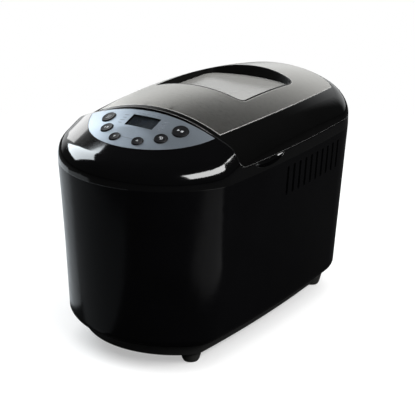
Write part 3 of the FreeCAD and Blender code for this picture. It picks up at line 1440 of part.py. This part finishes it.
def check():
    """Stop on any failed object or bad sub-part shape."""
    faults = [thing.Label for thing in doc.Objects if {"Invalid", "Error"} & set(thing.State)]
    for piece in SUB_PARTS:
        if piece.Shape.isNull() or not piece.Shape.isValid() or piece.Shape.Volume <= 0:
            faults.append(piece.Label)
    if faults:
        raise RuntimeError("failed: " + ", ".join(faults))


build()
doc.recompute()
check()
os.makedirs("parts", exist_ok=True)
for piece in SUB_PARTS:
    piece.Shape.exportStep(f"parts/{piece.Label}.step")
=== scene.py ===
import math

import bmesh
import bpy
from mathutils import Matrix, Vector


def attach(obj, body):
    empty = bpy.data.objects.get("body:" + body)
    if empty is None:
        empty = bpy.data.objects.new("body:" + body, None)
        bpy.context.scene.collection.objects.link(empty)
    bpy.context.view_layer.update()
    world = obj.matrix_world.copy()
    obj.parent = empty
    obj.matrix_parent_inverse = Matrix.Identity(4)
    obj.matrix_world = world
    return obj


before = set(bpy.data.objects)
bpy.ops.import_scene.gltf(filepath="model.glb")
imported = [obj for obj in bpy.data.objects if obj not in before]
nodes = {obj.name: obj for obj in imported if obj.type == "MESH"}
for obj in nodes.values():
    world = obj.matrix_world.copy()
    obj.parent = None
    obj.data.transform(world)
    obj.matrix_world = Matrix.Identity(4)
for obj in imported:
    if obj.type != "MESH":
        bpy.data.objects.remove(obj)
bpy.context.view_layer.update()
scene = bpy.context.scene

# Panel frame shared with the construction: middle of the control panel, slope and crown radius, in metres.
PANEL_POINT = Vector((0.0, -0.1235, 0.2488))
PANEL_TILT = math.radians(21.5)
PANEL_RADIUS = 0.240

# Widths of a moulding's painted rim highlight and of a sheet's cut edge, in metres, and how metallic the cut
# edge is painted to look as a highlight.
PAINTED_RIM_HIGHLIGHT_WIDTH = 0.0010
PAINTED_CUT_HIGHLIGHT_WIDTH = 0.0014
CUT_HIGHLIGHT_METALLIC = 0.55


# Materials


def new_material(name):
    """An empty node material with its principled shader."""
    material = bpy.data.materials.new(name)
    material.use_nodes = True
    tree = material.node_tree
    return material, tree, tree.nodes["Principled BSDF"]


def add(tree, kind, **settings):
    """A node with the given properties or input values."""
    node = tree.nodes.new(kind)
    for key, value in settings.items():
        if key in node.inputs:
            node.inputs[key].default_value = value
        else:
            setattr(node, key, value)
    return node


def object_noise(tree, stretch, scale, detail=4.0, roughness=0.55):
    """Noise fixed to the piece, stretched along the axes by the given factors."""
    place = add(tree, "ShaderNodeTexCoord")
    mapping = add(tree, "ShaderNodeMapping")
    mapping.inputs["Scale"].default_value = stretch
    noise = add(tree, "ShaderNodeTexNoise", Scale=scale, Detail=detail, Roughness=roughness)
    tree.links.new(place.outputs["Object"], mapping.inputs["Vector"])
    tree.links.new(mapping.outputs["Vector"], noise.inputs["Vector"])
    return noise


def ramp(tree, source, low, high, start=0.3, end=0.7):
    """Colours or greys spread over part of a texture's range."""
    node = add(tree, "ShaderNodeValToRGB")
    node.color_ramp.elements[0].position = start
    node.color_ramp.elements[1].position = end
    node.color_ramp.elements[0].color = low
    node.color_ramp.elements[1].color = high
    tree.links.new(source, node.inputs["Fac"])
    return node.outputs["Color"]


def fade(tree, source, start, end, low, high):
    """A value that runs smoothly from low to high between two ends of its source."""
    node = add(tree, "ShaderNodeMapRange", interpolation_type="SMOOTHSTEP")
    for key, value in (("From Min", start), ("From Max", end), ("To Min", low), ("To Max", high)):
        node.inputs[key].default_value = value
    tree.links.new(source, node.inputs["Value"])
    return node.outputs["Result"]


def grey(value):
    return (value, value, value, 1.0)


def bump(tree, shader, height, strength, distance, edge=0.0):
    """Fine relief; an edge radius also softens the piece's sharp edges."""
    node = add(tree, "ShaderNodeBump", Strength=strength, Distance=distance)
    if edge:
        rounding = add(tree, "ShaderNodeBevel", Radius=edge, samples=6)
        tree.links.new(rounding.outputs["Normal"], node.inputs["Normal"])
    tree.links.new(height, node.inputs["Height"])
    tree.links.new(node.outputs["Normal"], shader.inputs["Normal"])


def along_edges(tree, radius, at_edge, elsewhere):
    """A value that changes within the given radius of the piece's sharp edges."""
    rounding = add(tree, "ShaderNodeBevel", Radius=radius, samples=8)
    flat = add(tree, "ShaderNodeNewGeometry")
    agree = add(tree, "ShaderNodeVectorMath", operation="DOT_PRODUCT")
    tree.links.new(rounding.outputs["Normal"], agree.inputs[0])
    tree.links.new(flat.outputs["Normal"], agree.inputs[1])
    return fade(tree, agree.outputs["Value"], 0.90, 0.99, at_edge, elsewhere)


def moulded(name, colour, roughness, spread=0.05, grain=900.0, depth=0.00002, level=0.5, edge=0.0, rim_highlight_grey=0.0):
    """Moulded plastic: faint grain, colour drift, uneven gloss and, if asked, rims painted a paler grey as a
    highlight.
    """
    material, tree, shader = new_material(name)
    drift = object_noise(tree, (1, 1, 1), 14.0, 3.0)
    low = tuple(channel * 0.82 for channel in colour) + (1.0,)
    high = tuple(min(channel * 1.18, 1.0) for channel in colour) + (1.0,)
    tint = ramp(tree, drift.outputs["Fac"], low, high)
    # Painted highlight: the rims are painted a paler grey as if light caught them.
    if rim_highlight_grey:
        highlit_rim = add(tree, "ShaderNodeMix", data_type="RGBA")
        highlit_rim.inputs["B"].default_value = grey(rim_highlight_grey)
        tree.links.new(along_edges(tree, PAINTED_RIM_HIGHLIGHT_WIDTH, 1.0, 0.0), highlit_rim.inputs["Factor"])
        tree.links.new(tint, highlit_rim.inputs["A"])
        tint = highlit_rim.outputs["Result"]
    tree.links.new(tint, shader.inputs["Base Color"])
    gloss = object_noise(tree, (1, 1, 1), 60.0, 5.0)
    tree.links.new(ramp(tree, gloss.outputs["Fac"], grey(roughness - spread), grey(roughness + spread)),
                   shader.inputs["Roughness"])
    grain_noise = object_noise(tree, (1, 1, 1), grain, 2.0)
    bump(tree, shader, grain_noise.outputs["Fac"], 0.25, depth, edge)
    shader.inputs["Specular IOR Level"].default_value = level
    return material


def brushed(name, low, high, stretch, roughness, anisotropic=0.6, metallic=1.0, edge=0.0):
    """Brushed metal: hair lines in colour, gloss and relief; an edge radius rounds the shading of the edges
    and makes the cut edge less metallic as a painted highlight line.
    """
    material, tree, shader = new_material(name)
    lines = object_noise(tree, stretch, 260.0, 6.0, 0.7)
    tree.links.new(ramp(tree, lines.outputs["Fac"], low, high), shader.inputs["Base Color"])
    tree.links.new(ramp(tree, lines.outputs["Fac"], grey(roughness - 0.06), grey(roughness + 0.06)),
                   shader.inputs["Roughness"])
    bump(tree, shader, lines.outputs["Fac"], 0.12, 0.00003, edge)
    shader.inputs["Metallic"].default_value = metallic
    # Painted highlight: a less metallic cut edge shows its pale base colour as a light line.
    if edge:
        tree.links.new(along_edges(tree, PAINTED_CUT_HIGHLIGHT_WIDTH, CUT_HIGHLIGHT_METALLIC, metallic), shader.inputs["Metallic"])
    shader.inputs["Anisotropic"].default_value = anisotropic
    return material


def metal(name, colour, roughness, scale=120.0):
    """Plain metal with faint stains and uneven polish."""
    material, tree, shader = new_material(name)
    stains = object_noise(tree, (1, 1, 1), scale, 5.0)
    low = tuple(channel * 0.85 for channel in colour) + (1.0,)
    high = tuple(min(channel * 1.08, 1.0) for channel in colour) + (1.0,)
    tree.links.new(ramp(tree, stains.outputs["Fac"], low, high), shader.inputs["Base Color"])
    tree.links.new(ramp(tree, stains.outputs["Fac"], grey(roughness - 0.07), grey(roughness + 0.07)),
                   shader.inputs["Roughness"])
    bump(tree, shader, stains.outputs["Fac"], 0.08, 0.00003)
    shader.inputs["Metallic"].default_value = 1.0
    return material


def glass(name, colour, roughness=0.02, clear=1.0, ior=1.45):
    """Pane with a slight tint; less clear means more milky."""
    material, tree, shader = new_material(name)
    haze = object_noise(tree, (1, 1, 1), 40.0, 3.0)
    tree.links.new(ramp(tree, haze.outputs["Fac"], grey(roughness), grey(roughness + 0.03)),
                   shader.inputs["Roughness"])
    shader.inputs["Base Color"].default_value = colour
    shader.inputs["Transmission Weight"].default_value = clear
    shader.inputs["IOR"].default_value = ior
    return material


def printed(name, colour):
    """Flat ink of a print or marking."""
    return moulded(name, colour, 0.45, grain=1500.0)


casing_black = moulded("casing_black", (0.0012, 0.0012, 0.0014),
                       0.20, spread=0.03, grain=1200.0, depth=0.000006, level=0.08)
deck_black = moulded("deck_black", (0.0006, 0.0006, 0.0007),
                     0.07, spread=0.02, grain=300.0, depth=0.000002, edge=0.0008)
# The lid's rims are painted paler grey as a highlight.
lid_black = moulded("lid_black", (0.0012, 0.0012, 0.0012),
                    0.07, spread=0.02, grain=300.0, depth=0.000002, level=0.12, edge=0.0012, rim_highlight_grey=0.16)
frame_black = moulded("frame_black", (0.0006, 0.0006, 0.0006), 0.22, spread=0.03, grain=700.0, level=0.1)
base_grey = moulded("base_grey", (0.012, 0.012, 0.012), 0.5, spread=0.05, grain=900.0, depth=0.00004)
foot_rubber = moulded("foot_rubber", (0.018, 0.018, 0.017), 0.6, spread=0.08, grain=700.0, depth=0.00005)
button_black = moulded("button_black", (0.004, 0.004, 0.0045),
                       0.4, spread=0.04, grain=900.0, depth=0.00001, level=0.1)
gland_black = moulded("gland_black", (0.01, 0.01, 0.01), 0.55, spread=0.05, grain=600.0, depth=0.00004)
fascia_silver = brushed("fascia_silver", (0.228, 0.26, 0.296, 1), (0.292, 0.33, 0.372, 1), (1, 30, 1), 0.42,
                        anisotropic=0.3, metallic=0.9)
# The plate's cut edges carry the painted highlight line.
lid_steel = brushed("lid_steel", (0.40, 0.387, 0.362, 1), (0.52, 0.507, 0.478, 1), (0.6, 26, 1), 0.30,
                    metallic=0.985, edge=0.0008)
oven_steel = brushed("oven_steel", (0.42, 0.42, 0.42, 1), (0.56, 0.56, 0.56, 1), (1, 1, 14), 0.34)
zinc_sheet = metal("zinc_sheet", (0.55, 0.56, 0.57), 0.42, 60.0)
bright_steel = metal("bright_steel", (0.68, 0.68, 0.68), 0.2)
screw_steel = metal("screw_steel", (0.5, 0.5, 0.5), 0.3, 300.0)
brass = metal("bearing_brass", (0.72, 0.52, 0.24), 0.3)
cast_metal = metal("cast_metal", (0.5, 0.5, 0.51), 0.45, 90.0)
element_dark = metal("element_dark", (0.12, 0.11, 0.1), 0.5, 150.0)
motor_steel = metal("motor_steel", (0.35, 0.36, 0.37), 0.4)
motor_iron = metal("motor_iron", (0.22, 0.22, 0.23), 0.5)
pan_coating = moulded("pan_coating", (0.03, 0.03, 0.031), 0.45, spread=0.06, grain=1400.0, depth=0.00003)
ceramic = moulded("ceramic_white", (0.8, 0.78, 0.72), 0.5, spread=0.05, grain=700.0)
belt_rubber = moulded("belt_rubber", (0.015, 0.015, 0.015), 0.7, spread=0.05, grain=600.0, depth=0.00005)
fan_white = moulded("fan_white", (0.7, 0.7, 0.68), 0.45)
board_green = moulded("board_green", (0.02, 0.12, 0.05), 0.35, spread=0.05, grain=500.0)
transformer = moulded("transformer_iron", (0.12, 0.1, 0.06), 0.5)
capacitor = moulded("capacitor_grey", (0.16, 0.18, 0.22), 0.4)
display_grey = moulded("display_grey", (0.021, 0.031, 0.046), 0.5, spread=0.03, grain=200.0)
display_clear = glass("display_clear", (0.9, 0.93, 0.95, 1))
pane_glass = glass("pane_glass", (0.215, 0.212, 0.203, 1), 0.2, clear=0.4, ior=1.25)
mark_white = printed("mark_white", (0.17, 0.175, 0.18))
mark_grey = printed("mark_grey", (0.10, 0.11, 0.13))
digit_dark = printed("digit_dark", (0.006, 0.007, 0.009))

SURFACES = {
    casing_black: ["outer_housing"],
    deck_black: ["top_deck"],
    lid_black: ["lid_shell"],
    frame_black: ["window_frame"],
    base_grey: ["base_plate"],
    foot_rubber: ["foot_front_left", "foot_front_right", "foot_rear_left", "foot_rear_right"],
    fascia_silver: ["control_fascia"],
    display_clear: ["display_window"],
    display_grey: ["display_module"],
    button_black: ["button_program", "button_size", "button_time_down", "button_time_up",
                   "button_crust", "button_start"],
    lid_steel: ["lid_top_plate"],
    pane_glass: ["window_glass", "inner_glass"],
    oven_steel: ["oven_chamber", "lid_liner", "pan_seat"],
    zinc_sheet: ["chassis_plate", "heat_shield"],
    element_dark: ["heating_element"],
    ceramic: ["element_bushings"],
    pan_coating: ["bread_pan", "kneading_paddle"],
    bright_steel: ["pan_handle", "drive_shaft", "pan_shaft", "hinge_pins", "temperature_probe"],
    brass: ["shaft_bearing", "pan_bearing"],
    cast_metal: ["large_pulley", "motor_pulley", "drive_coupling"],
    belt_rubber: ["drive_belt"],
    motor_steel: ["motor_housing"],
    motor_iron: ["motor_stator", "motor_rotor"],
    fan_white: ["motor_fan"],
    board_green: ["control_board", "power_board"],
    transformer: ["power_transformer"],
    capacitor: ["motor_capacitor"],
    gland_black: ["cord_gland"],
    screw_steel: ["base_screws", "chassis_screws", "motor_screws", "deck_screws", "liner_screws"],
}
for material, names in SURFACES.items():
    for name in names:
        mesh = nodes[name].data
        mesh.materials.clear()
        mesh.materials.append(material)


# Marks on the panel, the buttons and the display


def panel_place(x, along, lift=0.0):
    """Frame on the crowned panel: x across, y up the slope, z square to the surface."""
    lean = math.asin(x / PANEL_RADIUS)
    drop = PANEL_RADIUS * (1 - math.cos(lean))
    on_crown = Matrix.Translation((x, along, -drop)) @ Matrix.Rotation(lean, 4, "Y")
    panel = Matrix.Translation(PANEL_POINT) @ Matrix.Rotation(PANEL_TILT, 4, "X")
    return panel @ on_crown @ Matrix.Translation((0, 0, lift))


def flat_mark(name, outlines, place, material, body, thickness=0.00012):
    """Thin raised print from closed outlines in the plane of the given frame."""
    mesh = bpy.data.meshes.new(name)
    shape = bmesh.new()
    for outline in outlines:
        face = shape.faces.new([shape.verts.new((x, y, 0)) for x, y in outline])
        raised = bmesh.ops.extrude_face_region(shape, geom=[face])["geom"]
        moved = [item for item in raised if isinstance(item, bmesh.types.BMVert)]
        bmesh.ops.translate(shape, verts=moved, vec=(0, 0, thickness))
    bmesh.ops.recalc_face_normals(shape, faces=shape.faces)
    shape.to_mesh(mesh)
    shape.free()
    mesh.materials.append(material)
    mark = bpy.data.objects.new(name, mesh)
    mark.matrix_world = place
    scene.collection.objects.link(mark)
    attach(mark, body)
    return mark


def bar(x, y, width, height):
    """A rectangle about its middle."""
    a, b = width / 2, height / 2
    return [(x - a, y - b), (x + a, y - b), (x + a, y + b), (x - a, y + b)]


def ring_sector(radius, inner, start, end, steps=16):
    """Part of a ring between two angles in degrees."""
    turns = [math.radians(start + (end - start) * step / steps) for step in range(steps + 1)]
    outside = [(radius * math.cos(turn), radius * math.sin(turn)) for turn in turns]
    inside = [(inner * math.cos(turn), inner * math.sin(turn)) for turn in reversed(turns)]
    return outside + inside


SEGMENTS = {"top": (0, 1, True), "middle": (0, 0, True), "bottom": (0, -1, True),
            "high_left": (-1, 0.5, False), "high_right": (1, 0.5, False),
            "low_left": (-1, -0.5, False), "low_right": (1, -0.5, False)}
DIGITS = {"0": "top bottom high_left high_right low_left low_right",
          "2": "top middle bottom high_right low_left",
          "3": "top middle bottom high_right low_right"}


def digit(character, x, y, half_width, half_height, stroke):
    """Bars of one seven-segment digit."""
    bars = []
    for name in DIGITS[character].split():
        across, along, level = SEGMENTS[name]
        long_way = (2 * half_width if level else half_height) - stroke
        size = (long_way, stroke) if level else (stroke, long_way)
        bars.append(bar(x + across * half_width, y + along * half_height, *size))
    return bars


# Height of the buttons over the panel, then each mark's place on it and its outlines
BUTTON_TOP = 0.00108
BUTTON_MARKS = {
    "button_program": (-0.046, 0.0125, [bar(0, step * 0.0021, 0.0052, 0.0006) for step in (-1, 0, 1)]),
    "button_size": (-0.0345, -0.006, [bar(-0.0019, -0.0003, 0.0014, 0.0020),
                                      bar(0.0012, 0, 0.0021, 0.0027)]),
    "button_time_down": (-0.0145, -0.019, [[(-0.0016, 0.0010), (0, -0.0017), (0.0016, 0.0010)]]),
    "button_time_up": (0.0145, -0.019, [[(-0.0016, -0.0010), (0.0016, -0.0010), (0, 0.0017)]]),
    "button_crust": (0.0345, -0.006, [ring_sector(0.0024, 0.0018, -90, 180),
                                      ring_sector(0.0010, 0.0002, 0, 359)]),
    "button_start": (0.046, 0.0125, [[(-0.0034, -0.0016), (-0.0007, 0), (-0.0034, 0.0016)],
                                     bar(0.0020, 0, 0.0026, 0.0026)]),
}
for name, (x, along, outlines) in BUTTON_MARKS.items():
    flat_mark(f"{name}_mark", outlines, panel_place(x, along, BUTTON_TOP), mark_white, name)

# Ticks beside and over the display, and the line between the two time buttons
TICK_COLUMN, TICK_TOP, TICK_PITCH = 0.0252, 0.0185, 0.0045
TICK_LENGTH, TICK_SHORTER, TICK_STROKE = 0.0058, 0.0012, 0.0007
PHASE_ROW, PHASE_PITCH, PHASE_LENGTH, PHASE_STROKE = 0.0236, 0.0064, 0.0042, 0.0006
TIME_ROW, TIME_LENGTH, TIME_STROKE = -0.0172, 0.0125, 0.0005


def panel_tick(name, x, along, length, stroke):
    """A short grey line printed on the fascia."""
    flat_mark(name, [bar(0, 0, length, stroke)], panel_place(x, along), mark_grey, "machine")


for word, side in (("left", -1), ("right", 1)):
    for step in range(4):
        panel_tick(f"program_tick_{word}_{step}", side * TICK_COLUMN, TICK_TOP - step * TICK_PITCH,
                   TICK_LENGTH - TICK_SHORTER * (step % 2), TICK_STROKE)
for step in range(5):
    panel_tick(f"phase_tick_{step}", (step - 2) * PHASE_PITCH, PHASE_ROW, PHASE_LENGTH, PHASE_STROKE)
panel_tick("time_line", 0, TIME_ROW, TIME_LENGTH, TIME_STROKE)

# Time on the display: places of the digits and the colon, half sizes and stroke of a digit
DIGIT_PLACES = (("3", -0.0085), ("2", 0.0015), ("0", 0.0089))
DIGIT_HALF_WIDTH, DIGIT_HALF_HEIGHT, DIGIT_STROKE = 0.0024, 0.0046, 0.0009
COLON_PLACE, COLON_HALF_GAP = -0.0035, 0.0018
DISPLAY_ROW, DISPLAY_DEPTH = 0.0115, 0.00458

figures = [bar(COLON_PLACE, side * COLON_HALF_GAP, DIGIT_STROKE, DIGIT_STROKE) for side in (-1, 1)]
for character, x in DIGIT_PLACES:
    figures += digit(character, x, 0, DIGIT_HALF_WIDTH, DIGIT_HALF_HEIGHT, DIGIT_STROKE)
flat_mark("display_digits", figures, panel_place(0, DISPLAY_ROW, -DISPLAY_DEPTH), digit_dark,
          "machine")


# Studio


# Directions are in degrees, places in metres, powers in watts.
SWEEP_AZIMUTH, SWEEP_LIGHT, ROOM_LIGHT = -151, 1.27, 0.035
SWEEP_SIDES = (0.68, 0.93)
SWEEP_RISE = (0.20, 0.74)
MIDDLE = Vector((0, -0.1, 0.2))
BOX_DISTANCE = 1.5
CARD_LIFT = 0.003
COOL = (0.88, 0.95, 1.0)

# The floor's grey in reflections and to the camera, its glow by the machine, and where it turns fully white
FLOOR_DARK, FLOOR_PALE = 0.02, 0.60
FLOOR_GLOW, GLOW_START, GLOW_END = 0.42, 0.3, 0.9


def stage_plane(name, size, place, material):
    """A square level plane that belongs to the stage."""
    mesh = bpy.data.meshes.new(name)
    half = size / 2
    corners = [(-half, -half, 0), (half, -half, 0), (half, half, 0), (-half, half, 0)]
    mesh.from_pydata(corners, [], [(0, 1, 2, 3)])
    plane = bpy.data.objects.new(name, mesh)
    plane.location = place
    mesh.materials.append(material)
    scene.collection.objects.link(plane)
    return plane


def floor_material():
    """Pale floor that keeps a soft shadow by the machine and is plain white to the camera further off."""
    material, tree, shader = new_material("floor_white")
    shader.inputs["Roughness"].default_value = 0.9
    shader.inputs["Specular IOR Level"].default_value = 0.0
    glow = add(tree, "ShaderNodeEmission", Strength=1.0)
    path = add(tree, "ShaderNodeLightPath")
    tone = add(tree, "ShaderNodeMix", data_type="RGBA")
    tone.inputs["A"].default_value = grey(FLOOR_DARK)
    tone.inputs["B"].default_value = grey(FLOOR_PALE)
    tree.links.new(path.outputs["Is Camera Ray"], tone.inputs["Factor"])
    tree.links.new(tone.outputs["Result"], shader.inputs["Base Color"])
    spot = add(tree, "ShaderNodeNewGeometry")
    reach = add(tree, "ShaderNodeVectorMath", operation="LENGTH")
    whiteness = fade(tree, reach.outputs["Value"], GLOW_START, GLOW_END, FLOOR_GLOW, 1.0)
    tree.links.new(spot.outputs["Position"], reach.inputs[0])
    share = add(tree, "ShaderNodeMath", operation="MULTIPLY")
    mix = add(tree, "ShaderNodeMixShader")
    tree.links.new(path.outputs["Is Camera Ray"], share.inputs[0])
    tree.links.new(whiteness, share.inputs[1])
    tree.links.new(share.outputs[0], mix.inputs["Fac"])
    tree.links.new(shader.outputs["BSDF"], mix.inputs[1])
    tree.links.new(glow.outputs["Emission"], mix.inputs[2])
    tree.links.new(mix.outputs["Shader"], tree.nodes["Material Output"].inputs["Surface"])
    return material


def area_light(name, place, aim, width, height, power, mirrored=True, colour=(1, 1, 1)):
    """A soft box turned to a point, unseen by the camera and, if so asked, by reflections."""
    light = bpy.data.lights.new(name, "AREA")
    light.shape = "RECTANGLE"
    light.size, light.size_y, light.energy = width, height, power
    light.color = colour
    lamp = bpy.data.objects.new(name, light)
    lamp.location = place
    lamp.rotation_euler = (Vector(aim) - Vector(place)).to_track_quat("-Z", "Y").to_euler()
    lamp.visible_camera = False
    lamp.visible_glossy = mirrored
    lamp.visible_transmission = mirrored
    scene.collection.objects.link(lamp)
    return lamp


def toward(azimuth, elevation):
    """Unit direction; azimuth runs from the machine's front to its right, both in degrees."""
    turn, rise = math.radians(azimuth), math.radians(elevation)
    return Vector((math.sin(turn) * math.cos(rise), -math.cos(turn) * math.cos(rise), math.sin(rise)))


def studio_world():
    """Dim room with a pale sweep behind the machine that fades upwards and to the sides."""
    world = bpy.data.worlds.new("studio")
    world.use_nodes = True
    tree = world.node_tree
    place = add(tree, "ShaderNodeTexCoord")
    across = add(tree, "ShaderNodeVectorMath", operation="DOT_PRODUCT")
    across.inputs[1].default_value = toward(SWEEP_AZIMUTH, 0)
    height = add(tree, "ShaderNodeSeparateXYZ")
    side_fade = fade(tree, across.outputs["Value"], *SWEEP_SIDES, 0.0, SWEEP_LIGHT)
    rise_fade = fade(tree, height.outputs["Z"], *SWEEP_RISE, 1.0, 0.0)
    product = add(tree, "ShaderNodeMath", operation="MULTIPLY_ADD")
    product.inputs[2].default_value = ROOM_LIGHT
    tree.links.new(place.outputs["Generated"], across.inputs[0])
    tree.links.new(place.outputs["Generated"], height.inputs[0])
    tree.links.new(side_fade, product.inputs[0])
    tree.links.new(rise_fade, product.inputs[1])
    path = add(tree, "ShaderNodeLightPath")
    seen = add(tree, "ShaderNodeMath", operation="MAXIMUM")
    tree.links.new(product.outputs[0], seen.inputs[0])
    tree.links.new(path.outputs["Is Camera Ray"], seen.inputs[1])
    backdrop = tree.nodes["Background"]
    backdrop.inputs["Color"].default_value = (0.97, 0.99, 1.0, 1)
    tree.links.new(seen.outputs[0], backdrop.inputs["Strength"])
    return world


def soft_box(name, azimuth, elevation, width, height, power, **settings):
    """A box at a set distance round the machine, turned to its upper front."""
    place = MIDDLE + toward(azimuth, elevation) * BOX_DISTANCE
    return area_light(name, place, MIDDLE, width, height, power, **settings)


def floor_card(name, x, y, width, height, power, **settings):
    """A card just over the floor that faces up."""
    return area_light(name, (x, y, CARD_LIFT), (x, y, 1), width, height, power, **settings)


stage_plane("floor", 12.0, (0, 0, 0), floor_material())
soft_box("left_box", -94, 30, 0.9, 0.75, 19, colour=COOL)
soft_box("right_box", 83, 34, 1.5, 0.6, 40)
area_light("top_box", (0, 0, 3), (0, 0, 0), 5, 5, 275, mirrored=False)
floor_card("left_card", -0.5, 0.13, 0.7, 0.60, 1.25, colour=COOL)
floor_card("front_card", -0.395, -0.35, 0.71, 0.34, 0.3, colour=COOL)
floor_card("right_card", 0.42, -0.12, 0.34, 0.30, 0.35)
soft_box("rear_strip", -123, 17, 0.35, 0.3, 0.9)
scene.world = studio_world()

# Camera fitted to the photo: direction in degrees, distance and target in metres, focal length in pixels
VIEW_AZIMUTH, VIEW_ELEVATION, VIEW_DISTANCE = 34.65, 20.12, 1.52114
VIEW_TARGET = Vector((0, 0.006, 0.150))
SHIFT_RIGHT, SHIFT_UP = -0.00098, -0.02511
FOCAL_PIXELS, PHOTO_PIXELS, SENSOR_WIDTH = 1359.69, 415, 36

back = toward(VIEW_AZIMUTH, VIEW_ELEVATION)
right = toward(VIEW_AZIMUTH + 90, 0)
up = back.cross(right)
eye = VIEW_TARGET + right * SHIFT_RIGHT + up * SHIFT_UP + back * VIEW_DISTANCE
camera = bpy.data.objects.new("camera", bpy.data.cameras.new("camera"))
camera.data.sensor_width = SENSOR_WIDTH
camera.data.lens = FOCAL_PIXELS * SENSOR_WIDTH / PHOTO_PIXELS
camera.matrix_world = Matrix.Translation(eye) @ Matrix((right, up, back)).transposed().to_4x4()
scene.collection.objects.link(camera)
scene.camera = camera
scene.view_settings.view_transform = "Standard"
